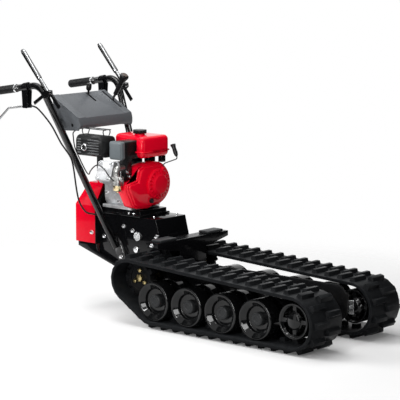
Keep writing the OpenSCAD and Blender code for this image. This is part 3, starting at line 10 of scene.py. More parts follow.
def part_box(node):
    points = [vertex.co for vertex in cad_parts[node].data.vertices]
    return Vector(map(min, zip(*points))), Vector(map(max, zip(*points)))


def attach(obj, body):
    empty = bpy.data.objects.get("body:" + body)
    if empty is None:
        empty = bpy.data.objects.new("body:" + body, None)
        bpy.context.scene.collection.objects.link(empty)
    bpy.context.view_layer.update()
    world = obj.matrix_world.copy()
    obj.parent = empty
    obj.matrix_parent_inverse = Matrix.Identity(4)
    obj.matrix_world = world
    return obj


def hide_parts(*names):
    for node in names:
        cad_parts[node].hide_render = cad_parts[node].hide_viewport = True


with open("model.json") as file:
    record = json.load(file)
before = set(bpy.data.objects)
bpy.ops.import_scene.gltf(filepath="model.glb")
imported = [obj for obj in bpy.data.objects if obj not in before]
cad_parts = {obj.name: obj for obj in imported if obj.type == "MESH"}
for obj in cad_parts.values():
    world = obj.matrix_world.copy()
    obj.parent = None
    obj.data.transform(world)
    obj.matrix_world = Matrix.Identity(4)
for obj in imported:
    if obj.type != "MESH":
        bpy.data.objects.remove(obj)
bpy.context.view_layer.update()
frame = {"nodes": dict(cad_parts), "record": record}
nodes = frame["nodes"]
body_of = {node: body for body, members in frame["record"]["behaviour"]["bodies"].items()
           for node in members}

MM = 0.001
SIDES = {"right": -1, "left": 1}
WHEELS = (1, 2, 3, 4)


def middle(node):
    """Centre of a node's box, in metres."""
    low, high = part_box(node)
    return (low + high) / 2


# Lengths along X are measured from the rear road-wheel axle, as in the part's source
REAR_AXLE_X = middle("road_wheel_right_1").x


def spot(x, y, z):
    """Point given in millimetres from the rear axle, centre line and ground."""
    return Vector((REAR_AXLE_X + x * MM, y * MM, z * MM))


# Camera of the photograph

CAMERA_AT = spot(4957.3, -5709.7, 1624.6)
CAMERA_TURN = (math.radians(81.32), 0, math.radians(40.86))
CAMERA_LENS = 176.38
SENSOR = 36
CAMERA_REACH = 60

camera_data = bpy.data.cameras.new("camera")
camera_data.lens = CAMERA_LENS
camera_data.sensor_width = SENSOR
camera_data.sensor_fit = "HORIZONTAL"
camera_data.clip_end = CAMERA_REACH
camera = bpy.data.objects.new("camera", camera_data)
camera.location = CAMERA_AT
camera.rotation_euler = CAMERA_TURN
bpy.context.scene.collection.objects.link(camera)
bpy.context.scene.camera = camera
bpy.context.scene.view_settings.view_transform = "Standard"


# Cords, along the routes of the part's source; the bends of the throttle line are eased

BAR_FOOT = Vector((-308, -108, 223))
BAR_CORNER = Vector((-632, -222, 898))
CLUTCH_RADIUS = 3.5
THROTTLE_RADIUS = 2.5
ROPE_RADIUS = 2.2
CORD_ROUNDNESS = 3
CORD_STEPS = 5
MEASURED_POINTS = 9


def by_bar(z, dx, dy):
    """Point beside the right handlebar tube at a height."""
    share = (z - BAR_FOOT.z) / (BAR_CORNER.z - BAR_FOOT.z)
    return BAR_FOOT.lerp(BAR_CORNER, share) + Vector((dx, dy, 0))


CLUTCH_ROUTE = [
    (-692, -222, 810), (-654, -222, 804), by_bar(767, -34.9, -21.1), by_bar(729, -17.1, -24.5),
    by_bar(671, -9, -26.3), by_bar(629, 3.9, -24.4), by_bar(600, 1, -21.3), by_bar(550, -24, -16.8),
    by_bar(493, -55.4, -12.4), by_bar(432, -83.7, -6.7), (-472, -134, 391), (-446, -124, 384),
    (-431, -106, 380), (-428, -89, 378)]
THROTTLE_ROUTE = [
    (-582, 14, 738), (-574, -20, 722), (-560, -80, 714), (-546, -124, 706), by_bar(690, 2.2, 44.9),
    by_bar(650, 1, 28.1), by_bar(610, 3.8, 23.4), by_bar(570, 6.6, 21.6),
    by_bar(546, 16, 13.8) + Vector((0, 0, 5)), (-420, -166, 552), (-397, -184, 566), (-364, -198, 588),
    (-330, -206, 600), (-290, -216, 588), (-266, -219, 568), (-256, -214, 554), (-251, -205, 545)]
ROPE_ROUTE = [(-196.4, 24, 581.1), (-196.4, 28.7, 593.9), (-151.7, 60, 614.1), (-155.3, 60, 622.1)]
ROPE_BEND = 8.4


def filled(route):
    """The route with one more point in the middle of each stretch of its smooth curve."""
    ends = [route[0]] + list(route) + [route[-1]]
    points = [Vector(p) for p in ends]
    full = []
    for a, b, c, d in zip(points, points[1:], points[2:], points[3:]):
        full += [b, (9 * (b + c) - a - d) / 16]
    return full + [points[-1]]


def eased(route, reach, steps=5):
    """The route with each corner turned into a short curve."""
    points = [Vector(p) for p in route]
    full = [points[0]]
    for before, corner, after in zip(points, points[1:], points[2:]):
        start = corner + (before - corner).normalized() * reach
        end = corner + (after - corner).normalized() * reach
        for k in range(steps + 1):
            t = k / steps
            full.append(start * (1 - t) ** 2 + corner * 2 * t * (1 - t) + end * t ** 2)
    return full + [points[-1]]


def lay_cord(name, route, radius, **facts):
    """Cord along a route in millimetres."""
    points = [spot(*p) for p in route]
    line = bpy.data.curves.new(name, "CURVE")
    line.dimensions = "3D"
    line.bevel_depth = radius * MM
    line.bevel_resolution = CORD_ROUNDNESS
    line.resolution_u = CORD_STEPS
    line.use_fill_caps = True
    spline = line.splines.new("BEZIER")
    spline.bezier_points.add(len(points) - 1)
    for k, knot in enumerate(spline.bezier_points):
        slope = (points[min(k + 1, len(points) - 1)] - points[max(k - 1, 0)]) / 6
        knot.handle_left_type = "FREE"
        knot.handle_right_type = "FREE"
        knot.co = points[k]
        knot.handle_left = points[k] - slope
        knot.handle_right = points[k] + slope
    for one, two in zip(spline.bezier_points, spline.bezier_points[1:]):
        steps = interpolate_bezier(one.co, one.handle_right, two.handle_left, two.co, MEASURED_POINTS)
    cord = bpy.data.objects.new(name, line)
    bpy.context.scene.collection.objects.link(cord)
    return cord


def mirrored(route):
    """The same route on the other side of the machine."""
    return [(x, -y, z) for x, y, z in route]


cords = {
    "clutch_cable_right": lay_cord("clutch_cable_right", filled(CLUTCH_ROUTE), CLUTCH_RADIUS,
                                   stiffness="stiff", lay="hanging"),
    "clutch_cable_left": lay_cord("clutch_cable_left", filled(mirrored(CLUTCH_ROUTE)), CLUTCH_RADIUS,
                                  stiffness="stiff", lay="hanging"),
    "throttle_line": lay_cord("throttle_line", filled(THROTTLE_ROUTE), THROTTLE_RADIUS,
                              stiffness="stiff", lay="hanging"),
    "pull_rope": lay_cord("pull_rope", eased(ROPE_ROUTE, ROPE_BEND), ROPE_RADIUS,
                          stiffness="limp", lay="taut")}


# Modelling helpers

NODE_MERGE = 0.00001
RING_MERGE = 0.00002
FLAT_ANGLE = math.radians(0.6)


def clear_selection():
    if bpy.context.object and bpy.context.object.mode != "OBJECT":
        bpy.ops.object.mode_set(mode="OBJECT")
    bpy.ops.object.select_all(action="DESELECT")


def pick(piece):
    clear_selection()
    piece.select_set(True)
    bpy.context.view_layer.objects.active = piece
    return piece


def finish_place(piece):
    """Puts a piece's place, turn and scale into its mesh."""
    pick(piece)
    bpy.ops.object.transform_apply(location=True, rotation=True, scale=True)
    return piece


def apply_modifier(piece, kind, **settings):
    pick(piece)
    modifier = piece.modifiers.new(kind.lower(), kind)
    for key, value in settings.items():
        setattr(modifier, key, value)
    bpy.ops.object.modifier_apply(modifier=modifier.name)
    return piece


def round_edges(piece, width, segments=2, angle=32):
    """Rounds the edges that are sharper than an angle, by a width in millimetres."""
    return apply_modifier(piece, "BEVEL", width=width * MM, segments=segments, limit_method="ANGLE",
                          angle_limit=math.radians(angle), use_clamp_overlap=True, harden_normals=False)


def smooth(piece, angle=35):
    pick(piece)
    bpy.ops.object.shade_smooth_by_angle(angle=math.radians(angle))
    return piece


def dress(piece, material, body, stands_for=()):
    """Gives a piece its finish and the body that it moves with."""
    piece.data.materials.clear()
    piece.data.materials.append(material)
    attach(piece, body)
    if stands_for:
        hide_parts(*stands_for)
    return piece


def softened(node, material, width, flatten=True):
    """Copy of a construction node with its sharp edges rounded, shown in its place."""
    source = nodes[node]
    piece = source.copy()
    piece.data = source.data.copy()
    piece.name = "dressed_" + node
    for key in list(piece.keys()):
        del piece[key]
    piece.parent = None
    bpy.context.scene.collection.objects.link(piece)
    pick(piece)
    bpy.ops.object.mode_set(mode="EDIT")
    bpy.ops.mesh.select_all(action="SELECT")
    bpy.ops.mesh.remove_doubles(threshold=NODE_MERGE)
    if flatten:
        bpy.ops.mesh.dissolve_limited(angle_limit=FLAT_ANGLE)
    bpy.ops.object.mode_set(mode="OBJECT")
    if width:
        round_edges(piece, width)
    smooth(piece)
    return dress(piece, material, body_of[node], [node])


def turned(name, rings, at, along, steps=48, hollow=False):
    """Ring pulled along an axis and resized step by step.

    Rings are (radius, distance) in millimetres. A hollow one ends on its first ring."""
    clear_selection()
    bpy.ops.mesh.primitive_circle_add(vertices=steps, radius=rings[0][0] * MM, fill_type="NOTHING")
    piece = bpy.context.object
    piece.name = name
    bpy.ops.object.mode_set(mode="EDIT")
    bpy.ops.mesh.select_all(action="SELECT")
    bpy.ops.transform.translate(value=(0, 0, rings[0][1] * MM))
    for (old_radius, old_reach), (radius, reach) in zip(rings, rings[1:]):
        step = (0, 0, (reach - old_reach) * MM)
        bpy.ops.mesh.extrude_region_move(TRANSFORM_OT_translate={"value": step})
        grow = radius / old_radius
        bpy.ops.transform.resize(value=(grow, grow, 1), center_override=(0, 0, reach * MM))
    bpy.ops.mesh.select_all(action="SELECT")
    if hollow:
        bpy.ops.mesh.remove_doubles(threshold=RING_MERGE)
    else:
        bpy.ops.mesh.fill_holes(sides=0)
    bpy.ops.mesh.select_all(action="SELECT")
    bpy.ops.mesh.normals_make_consistent(inside=False)
    bpy.ops.object.mode_set(mode="OBJECT")
    return placed(piece, at, along)


def placed(piece, at, along):
    """Turns a piece's Z axis along a direction and sets it down at a point."""
    piece.rotation_euler = Vector((0, 0, 1)).rotation_difference(Vector(along)).to_euler()
    piece.location = at
    return finish_place(piece)


def twin(piece, name, at, along):
    """Copy, with its own mesh, of a piece modelled at the origin along Z."""
    other = piece.copy()
    other.data = piece.data.copy()
    other.name = name
    bpy.context.scene.collection.objects.link(other)
    return placed(other, at, along)


def joined(name, pieces):
    clear_selection()
    for piece in pieces:
        piece.select_set(True)
    bpy.context.view_layer.objects.active = pieces[0]
    bpy.ops.object.join()
    pieces[0].name = name
    return pieces[0]


def discard(piece):
    bpy.data.objects.remove(piece, do_unlink=True)


ORIGIN = (0, 0, 0)
UP = (0, 0, 1)
FORWARD = (1, 0, 0)
TO_RIGHT = (0, -1, 0)
TO_LEFT = (0, 1, 0)
# Shares of a head's width across flats, and of its washer's thickness
HEAD_BREAK = 0.06
WASHER_REACH = 0.62
WASHER_BORE = 0.3
WASHER_BREAK = 0.3


def hex_head(name, across, height, washer):
    """Hexagon head with broken corners on a washer, at the origin along Z."""
    clear_selection()
    bpy.ops.mesh.primitive_cylinder_add(vertices=6, radius=across * MM / math.sqrt(3), depth=height * MM,
                                        location=(0, 0, (washer + height / 2) * MM))
    head = finish_place(bpy.context.object)
    round_edges(head, across * HEAD_BREAK, 2, 40)
    reach = across * WASHER_REACH
    edge = washer * WASHER_BREAK
    rings = [(reach, 0), (reach, washer - edge), (reach - edge, washer), (across * WASHER_BORE, washer)]
    disc = turned(name + "_washer", rings, ORIGIN, UP, 32)
    return smooth(joined(name, [head, disc]), 30)


# Shared surface effects

def new_group(name, inputs, outputs):
    group = bpy.data.node_groups.new(name, "ShaderNodeTree")
    for label, kind, value in inputs:
        socket = group.interface.new_socket(label, in_out="INPUT", socket_type=kind)
        socket.default_value = value
    for label, kind in outputs:
        group.interface.new_socket(label, in_out="OUTPUT", socket_type=kind)
    return group, group.nodes.new("NodeGroupInput"), group.nodes.new("NodeGroupOutput")


def math_node(tree, operation, clamp=False):
    node = tree.nodes.new("ShaderNodeMath")
    node.operation = operation
    node.use_clamp = clamp
    return node


FLOAT = "NodeSocketFloat"
SPECK_FINENESS = 14
CHIP_SCALE = 60
CHIP_FROM = 0.42
CHIP_TO = 0.62
DUST_SCALE = 45
DUST_DETAIL = 8
DUST_SLOPE = -0.2


def make_mottle():
    """Soft cloudy mask and a finer one, for uneven colour and gloss."""
    group, given, result = new_group("mottle", [("Scale", FLOAT, 12), ("Detail", FLOAT, 5)],
                                     [("Cloud", FLOAT), ("Speck", FLOAT)])
    place = group.nodes.new("ShaderNodeTexCoord")
    cloud = group.nodes.new("ShaderNodeTexNoise")
    speck = group.nodes.new("ShaderNodeTexNoise")
    finer = math_node(group, "MULTIPLY")
    finer.inputs[1].default_value = SPECK_FINENESS
    group.links.new(place.outputs["Object"], cloud.inputs["Vector"])
    group.links.new(place.outputs["Object"], speck.inputs["Vector"])
    group.links.new(given.outputs["Scale"], cloud.inputs["Scale"])
    group.links.new(given.outputs["Scale"], finer.inputs[0])
    group.links.new(finer.outputs[0], speck.inputs["Scale"])
    group.links.new(given.outputs["Detail"], cloud.inputs["Detail"])
    group.links.new(cloud.outputs["Fac"], result.inputs["Cloud"])
    group.links.new(speck.outputs["Fac"], result.inputs["Speck"])
    return group


def make_edge_wear_and_highlight():
    """Mask that is bright along sharp edges, broken up by noise; it lightens edges partly as wear and
    partly as painted highlight.
    """
    group, given, result = new_group("edge_wear_and_highlight", [("Radius", FLOAT, 0.002), ("Gain", FLOAT, 6)],
                                     [("Mask", FLOAT)])
    bent = group.nodes.new("ShaderNodeBevel")
    bent.samples = 4
    flat = group.nodes.new("ShaderNodeNewGeometry")
    dot = group.nodes.new("ShaderNodeVectorMath")
    dot.operation = "DOT_PRODUCT"
    drop = math_node(group, "SUBTRACT")
    drop.inputs[0].default_value = 1
    gain = math_node(group, "MULTIPLY", clamp=True)
    place = group.nodes.new("ShaderNodeTexCoord")
    noise = group.nodes.new("ShaderNodeTexNoise")
    noise.inputs["Scale"].default_value = CHIP_SCALE
    chips = group.nodes.new("ShaderNodeMapRange")
    chips.inputs["From Min"].default_value = CHIP_FROM
    chips.inputs["From Max"].default_value = CHIP_TO
    both = math_node(group, "MULTIPLY")
    group.links.new(given.outputs["Radius"], bent.inputs["Radius"])
    group.links.new(bent.outputs["Normal"], dot.inputs[0])
    group.links.new(flat.outputs["Normal"], dot.inputs[1])
    group.links.new(dot.outputs["Value"], drop.inputs[1])
    group.links.new(drop.outputs[0], gain.inputs[0])
    group.links.new(given.outputs["Gain"], gain.inputs[1])
    group.links.new(place.outputs["Object"], noise.inputs["Vector"])
    group.links.new(noise.outputs["Fac"], chips.inputs["Value"])
    group.links.new(gain.outputs[0], both.inputs[0])
    group.links.new(chips.outputs["Result"], both.inputs[1])
    group.links.new(both.outputs[0], result.inputs["Mask"])
    return group


def make_dust():
    """Mask of dust that settles on upward faces and thickens towards the ground."""
    group, given, result = new_group("dust", [("Low", FLOAT, 0.0), ("High", FLOAT, 0.5)],
                                     [("Mask", FLOAT)])
    place = group.nodes.new("ShaderNodeTexCoord")
    split = group.nodes.new("ShaderNodeSeparateXYZ")
    height = group.nodes.new("ShaderNodeMapRange")
    height.inputs["To Min"].default_value = 1
    height.inputs["To Max"].default_value = 0
    facing = group.nodes.new("ShaderNodeNewGeometry")
    up = group.nodes.new("ShaderNodeSeparateXYZ")
    lift = group.nodes.new("ShaderNodeMapRange")
    lift.inputs["From Min"].default_value = DUST_SLOPE
    lift.inputs["From Max"].default_value = 1
    noise = group.nodes.new("ShaderNodeTexNoise")
    noise.inputs["Scale"].default_value = DUST_SCALE
    noise.inputs["Detail"].default_value = DUST_DETAIL
    settled = math_node(group, "MULTIPLY")
    patchy = math_node(group, "MULTIPLY", clamp=True)
    group.links.new(place.outputs["Object"], split.inputs[0])
    group.links.new(place.outputs["Object"], noise.inputs["Vector"])
    group.links.new(split.outputs["Z"], height.inputs["Value"])
    group.links.new(given.outputs["Low"], height.inputs["From Min"])
    group.links.new(given.outputs["High"], height.inputs["From Max"])
    group.links.new(facing.outputs["Normal"], up.inputs[0])
    group.links.new(up.outputs["Z"], lift.inputs["Value"])
    group.links.new(height.outputs["Result"], settled.inputs[0])
    group.links.new(lift.outputs["Result"], settled.inputs[1])
    group.links.new(settled.outputs[0], patchy.inputs[0])
    group.links.new(noise.outputs["Fac"], patchy.inputs[1])
    group.links.new(patchy.outputs[0], result.inputs["Mask"])
    return group


MOTTLE = make_mottle()
EDGE_WEAR_AND_HIGHLIGHT = make_edge_wear_and_highlight()
DUST = make_dust()


# Materials

MASK_FROM = 0.3
MASK_TO = 0.7
PAINT_CLOUD = 7
PAINT_EDGE = 0.0025
EDGE_GAIN = 5
DEEP_SHARE = 0.86
COAT_ROUGHNESS = 0.06
DRY_DUST = (0.17, 0.16, 0.145)
METAL_STAIN = (0.12, 0.11, 0.1)
TREAD_DEEP = (0.003, 0.0033, 0.0038)
TREAD_PALE = (0.007, 0.0075, 0.0085)
TREAD_DUST = (0.03, 0.032, 0.034)
# Lighter tone of tread edges: partly wear, partly painted highlight
TREAD_EDGE = (0.035, 0.037, 0.039)


def new_material(name):
    material = bpy.data.materials.new(name)
    material.use_nodes = True
    return material, material.node_tree, material.node_tree.nodes["Principled BSDF"]


def add_group(tree, group, **values):
    node = tree.nodes.new("ShaderNodeGroup")
    node.node_tree = group
    for label, value in values.items():
        node.inputs[label].default_value = value
    return node


def blend_colour(tree, mask, first, second):
    """Colour that goes from first to second where the mask is bright."""
    mix = tree.nodes.new("ShaderNodeMix")
    mix.data_type = "RGBA"
    tree.links.new(mask, mix.inputs["Factor"])
    for socket, colour in ((mix.inputs[6], first), (mix.inputs[7], second)):
        if isinstance(colour, tuple):
            socket.default_value = (*colour, 1)
        else:
            tree.links.new(colour, socket)
    return mix.outputs[2]


def spread(tree, mask, low, high):
    """Value between low and high, by a mask that hovers round a half."""
    node = tree.nodes.new("ShaderNodeMapRange")
    node.inputs["From Min"].default_value = MASK_FROM
    node.inputs["From Max"].default_value = MASK_TO
    node.inputs["To Min"].default_value = low
    node.inputs["To Max"].default_value = high
    tree.links.new(mask, node.inputs["Value"])
    return node.outputs["Result"]


def add_bump(tree, shader, height, strength, distance):
    """Relief from a mask; its distance is in millimetres."""
    bump = tree.nodes.new("ShaderNodeBump")
    bump.inputs["Strength"].default_value = strength
    bump.inputs["Distance"].default_value = distance * MM
    tree.links.new(height, bump.inputs["Height"])
    tree.links.new(bump.outputs["Normal"], shader.inputs["Normal"])


def painted(name, colour, worn_and_lit, rough, coat=0.1, sheen=0.12, wear_and_highlight=0.35, dusty=None):
    """Gloss paint on metal, with uneven gloss, a hint of orange peel, and edges lightened partly by wear
    and partly as painted highlight.
    """
    material, tree, shader = new_material(name)
    mottle = add_group(tree, MOTTLE, Scale=PAINT_CLOUD)
    edge = add_group(tree, EDGE_WEAR_AND_HIGHLIGHT, Radius=PAINT_EDGE, Gain=EDGE_GAIN * wear_and_highlight)
    deep = tuple(DEEP_SHARE * part for part in colour)
    tone = blend_colour(tree, mottle.outputs["Cloud"], deep, colour)
    # Edges take the lighter worn colour: partly wear, partly painted highlight
    tone = blend_colour(tree, edge.outputs["Mask"], tone, worn_and_lit)
    if dusty:
        dust = add_group(tree, DUST, Low=0.0, High=dusty)
        tone = blend_colour(tree, dust.outputs["Mask"], tone, DRY_DUST)
    tree.links.new(tone, shader.inputs["Base Color"])
    gloss = spread(tree, mottle.outputs["Cloud"], rough * 0.8, rough * 1.3)
    tree.links.new(gloss, shader.inputs["Roughness"])
    shader.inputs["Specular IOR Level"].default_value = sheen
    shader.inputs["Coat Weight"].default_value = coat
    shader.inputs["Coat Roughness"].default_value = COAT_ROUGHNESS
    add_bump(tree, shader, mottle.outputs["Speck"], 0.03, 0.2)
    return material


def moulded(name, colour, rough, grain=900, depth=0.12, sheen=0.18):
    """Moulded plastic or rubber with a fine even grain."""
    material, tree, shader = new_material(name)
    mottle = add_group(tree, MOTTLE, Scale=grain / SPECK_FINENESS)
    lighter = tuple(min(1, 1.25 * part + 0.004) for part in colour)
    tone = blend_colour(tree, mottle.outputs["Cloud"], colour, lighter)
    tree.links.new(tone, shader.inputs["Base Color"])
    gloss = spread(tree, mottle.outputs["Speck"], rough * 0.85, rough * 1.1)
    tree.links.new(gloss, shader.inputs["Roughness"])
    shader.inputs["Specular IOR Level"].default_value = sheen
    add_bump(tree, shader, mottle.outputs["Speck"], depth, 0.4)
    return material


def bare_metal(name, colour, rough, grain=40, depth=0.05, soiled=0.25, bright=1):
    """Plated, turned or cast metal with faint stains; a chalky casting is less bright than plating."""
    material, tree, shader = new_material(name)
    mottle = add_group(tree, MOTTLE, Scale=grain)
    cloud = spread(tree, mottle.outputs["Cloud"], 0, soiled)
    tree.links.new(blend_colour(tree, cloud, colour, METAL_STAIN), shader.inputs["Base Color"])
    gloss = spread(tree, mottle.outputs["Cloud"], rough * 0.75, rough * 1.35)
    tree.links.new(gloss, shader.inputs["Roughness"])
    shader.inputs["Metallic"].default_value = bright
    add_bump(tree, shader, mottle.outputs["Speck"], depth, 0.3)
    return material


def tread_rubber():
    """Dark track rubber: dry and greyer on faces that look up, dusty near the ground."""
    material, tree, shader = new_material("track_rubber")
    mottle = add_group(tree, MOTTLE, Scale=24)
    dust = add_group(tree, DUST, Low=-0.1, High=0.75)
    edge = add_group(tree, EDGE_WEAR_AND_HIGHLIGHT, Radius=0.004, Gain=2.2)
    tone = blend_colour(tree, mottle.outputs["Cloud"], TREAD_DEEP, TREAD_PALE)
    tone = blend_colour(tree, dust.outputs["Mask"], tone, TREAD_DUST)
    # Edges take a lighter tone: partly wear, partly painted highlight
    tone = blend_colour(tree, edge.outputs["Mask"], tone, TREAD_EDGE)
    tree.links.new(tone, shader.inputs["Base Color"])
    tree.links.new(spread(tree, mottle.outputs["Cloud"], 0.32, 0.46), shader.inputs["Roughness"])
    shader.inputs["Specular IOR Level"].default_value = 0.05
    add_bump(tree, shader, mottle.outputs["Speck"], 0.18, 0.5)
    return material


# Finishes: paints have a colour and an edge colour that is partly wear and partly painted highlight, then
# all have a roughness
BLACK_PAINT = painted("black_paint", (0.004, 0.0042, 0.0048), (0.04, 0.04, 0.042), 0.24,
                      sheen=0.06, dusty=0.2)
BED_PAINT = painted("bed_paint", (0.0035, 0.0036, 0.0042), (0.05, 0.05, 0.052), 0.14,
                    coat=0.35, sheen=0.04, wear_and_highlight=0.5)
WHEEL_PAINT = painted("wheel_paint", (0.0045, 0.0047, 0.005), (0.06, 0.062, 0.064), 0.12,
                      coat=0.55, sheen=0.03)
BAR_PAINT = painted("bar_paint", (0.004, 0.004, 0.0045), (0.04, 0.04, 0.042), 0.1,
                    coat=0.9, sheen=0.03, wear_and_highlight=0.1)
RED_PAINT = painted("red_paint", (0.84, 0.0012, 0.02), (0.86, 0.01, 0.03), 0.14,
                    coat=0.4, sheen=0.05, wear_and_highlight=0.15)
# Belt cover red, set darker than the tank's red as painted shade to offset the strong light on its rear
# face
SHADED_COVER_PAINT = painted("shaded_cover_paint", (0.62, 0.0012, 0.016), (0.66, 0.01, 0.025), 0.2,
                      coat=0.15, sheen=0.05, wear_and_highlight=0.15)
STARTER_PAINT = painted("starter_paint", (0.78, 0.0014, 0.019), (0.8, 0.01, 0.03), 0.3,
                        coat=0.05, sheen=0.05, wear_and_highlight=0.1)
CASTING_DARK = painted("dark_casting", (0.007, 0.0073, 0.008), (0.05, 0.05, 0.053), 0.4,
                       coat=0, sheen=0.05, dusty=0.2)
HEAT_GREY = painted("heat_grey", (0.012, 0.0125, 0.013), (0.2, 0.205, 0.21), 0.34,
                    coat=0, sheen=0.12, wear_and_highlight=0.8)
LOUVRE_GREY = painted("louvre_grey", (0.075, 0.077, 0.08), (0.3, 0.305, 0.31), 0.3,
                      coat=0, sheen=0.4, wear_and_highlight=0.9)
TRACK_RUBBER = tread_rubber()
GRIP_RUBBER = moulded("grip_rubber", (0.006, 0.0062, 0.007), 0.42)
PAD_RUBBER = moulded("pad_rubber", (0.022, 0.0235, 0.025), 0.45)
CABLE_SHEATH = moulded("cable_sheath", (0.005, 0.005, 0.0055), 0.3)
DASH_PLASTIC = moulded("dash_plastic", (0.086, 0.092, 0.1), 0.4, grain=1300, depth=0.2)
BLACK_PLASTIC = moulded("black_plastic", (0.005, 0.005, 0.0055), 0.28, depth=0.05)
GREY_PLASTIC = moulded("grey_plastic", (0.1, 0.114, 0.122), 0.3, depth=0.06)
SILVER_CASTING = bare_metal("silver_casting", (0.68, 0.69, 0.71), 0.36,
                            grain=60, depth=0.1, soiled=0.45, bright=0.82)
CARB_CASTING = bare_metal("carb_casting", (0.4, 0.4, 0.39), 0.34,
                          grain=60, depth=0.08, soiled=0.4, bright=0.8)
STEEL = bare_metal("turned_steel", (0.45, 0.455, 0.46), 0.3)
ZINC = bare_metal("zinc_plate", (0.82, 0.83, 0.84), 0.24, depth=0.01, soiled=0.12)
YELLOW_ZINC = bare_metal("yellow_zinc", (0.6, 0.48, 0.22), 0.3, depth=0.01, soiled=0.3)
CHROME = bare_metal("chrome_plate", (0.3, 0.305, 0.31), 0.14, depth=0.0, soiled=0.05)
chrome_shader = CHROME.node_tree.nodes["Principled BSDF"]
chrome_shader.inputs["Specular Tint"].default_value = (0.02, 0.02, 0.02, 1)
HUB_PAINT = painted("hub_paint", (0.02, 0.021, 0.022), (0.1, 0.1, 0.105), 0.3, coat=0.05)
KNOB_BROWN = moulded("knob_brown", (0.075, 0.058, 0.05), 0.35, depth=0.05)
BRASS = bare_metal("brass", (0.86, 0.7, 0.4), 0.25, depth=0.01, soiled=0.2)


# Construction nodes: name, finish and width of the rounded edges; smooth ones are round already

PLAIN_NODES = [
    ("main_frame", BLACK_PAINT, 2), ("gearbox", CASTING_DARK, 2), ("engine_bed", BED_PAINT, 1.2),
    ("rear_guard", BED_PAINT, 1), ("bed_beam", BLACK_PAINT, 1.5), ("bed_pads", PAD_RUBBER, 2),
    ("belt_plate", BED_PAINT, 0.8), ("belt_cover", SHADED_COVER_PAINT, 5),
    ("crankshaft", STEEL, 1), ("crank_pulley", CASTING_DARK, 1), ("input_pulley", CASTING_DARK, 1),
    ("drive_belt", CABLE_SHEATH, 0), ("road_axles", STEEL, 1), ("idler_tensioners", ZINC, 1.5),
    ("lever_brackets", BAR_PAINT, 1), ("dash", DASH_PLASTIC, 1.4), ("lever_shaft", STEEL, 0.5),
    ("engine_base", BED_PAINT, 1), ("crankcase", SILVER_CASTING, 2),
    ("engine_cylinder", SILVER_CASTING, 0.8), ("fan_housing", RED_PAINT, 3),
    ("recoil_starter", STARTER_PAINT, 0.4), ("stop_switch", BLACK_PLASTIC, 0.8),
    ("fuel_tank", RED_PAINT, 0), ("tank_cap", BLACK_PLASTIC, 1.5), ("tank_brackets", BED_PAINT, 1),
    ("air_cleaner_case", BLACK_PLASTIC, 2), ("air_cleaner_cover", GREY_PLASTIC, 2),
    ("choke_lever", ZINC, 0.4)]
SIDE_NODES = [
    ("track", TRACK_RUBBER, 2.5), ("sprocket", CASTING_DARK, 1.5), ("drive_axle", YELLOW_ZINC, 0.8)]
SMOOTH_SIDE_NODES = [("idler", WHEEL_PAINT), ("drive_lever", CHROME), ("steering_lever", STEEL)]
SMOOTH_NODES = [
    ("handlebars", BAR_PAINT), ("gear_lever", BLACK_PLASTIC), ("speed_lever", BLACK_PLASTIC),
    ("starter_grip", BLACK_PLASTIC), ("carburettor", CARB_CASTING), ("muffler", HEAT_GREY)]
for node, material, width in PLAIN_NODES:
    softened(node, material, width)
for side in SIDES:
    for node, material, width in SIDE_NODES:
        softened(f"{node}_{side}", material, width)
    for node, material in SMOOTH_SIDE_NODES:
        softened(f"{node}_{side}", material, 0, flatten=False)
for node, material in SMOOTH_NODES:
    softened(node, material, 0, flatten=False)


# Cords take their finish, ride on the chassis and stand in for their construction nodes

CHASSIS = body_of["main_frame"]
CORD_NODES = {"clutch_cable_right": "clutch_cables", "clutch_cable_left": "clutch_cables",
              "throttle_line": "throttle_cable", "pull_rope": "starter_rope"}
for name, node in CORD_NODES.items():
    dress(cords[name], CABLE_SHEATH, CHASSIS, [node])


# Road wheels: two pressed dishes with rolled rims, and a hub with its cap

DISH = [(25, 26), (46, 26), (47.4, 25.4), (48.3, 24), (50, 15.2), (50.8, 13.6), (52.2, 12.4), (63.5, 4),
        (65.4, 2.4), (67.6, 1), (70, 0.2), (72, 0), (73.8, 0.4), (75.4, 1.6), (76.4, 3.2), (76.7, 5.2),
        (76.7, 55), (72.7, 55), (72.7, 12), (67.7, 8), (54, 18), (51, 30), (25, 30), (25, 26)]
HUB = [(0.5, 13), (11, 13), (12.5, 11.2), (13.5, 11), (20, 11), (22.4, 11.7), (24.6, 13.8), (25.7, 16),
       (26, 18), (26, 147), (0.5, 147)]
WHEEL_WIDTH = 150
WHEEL_OUT = 256
WHEEL_STEP = 168
WHEEL_UP = 104.3
# A hair off straight down, so that the half turn of the far dish has a known axis
DOWN = (0, 0.0001, -1)

near_dish = smooth(turned("near_dish", DISH, ORIGIN, UP, 80, hollow=True), 50)
far_dish = twin(near_dish, "far_dish", (0, 0, WHEEL_WIDTH * MM), DOWN)
wheel_master = joined("wheel_master", [near_dish, far_dish])
hub_master = smooth(turned("hub_master", HUB, ORIGIN, UP, 48), 40)
for side, sign in SIDES.items():
    for k in WHEELS:
        node = f"road_wheel_{side}_{k}"
        at = spot((k - 1) * WHEEL_STEP, sign * WHEEL_OUT, WHEEL_UP)
        wheel = twin(wheel_master, f"wheel_{side}_{k}", at, (0, -sign, 0))
        dress(wheel, WHEEL_PAINT, body_of[node], [node])
        hub = twin(hub_master, f"wheel_hub_{side}_{k}", at, (0, -sign, 0))
        dress(hub, HUB_PAINT, body_of[node])
discard(wheel_master)
discard(hub_master)


# Ribbed grips and the bright collars behind them

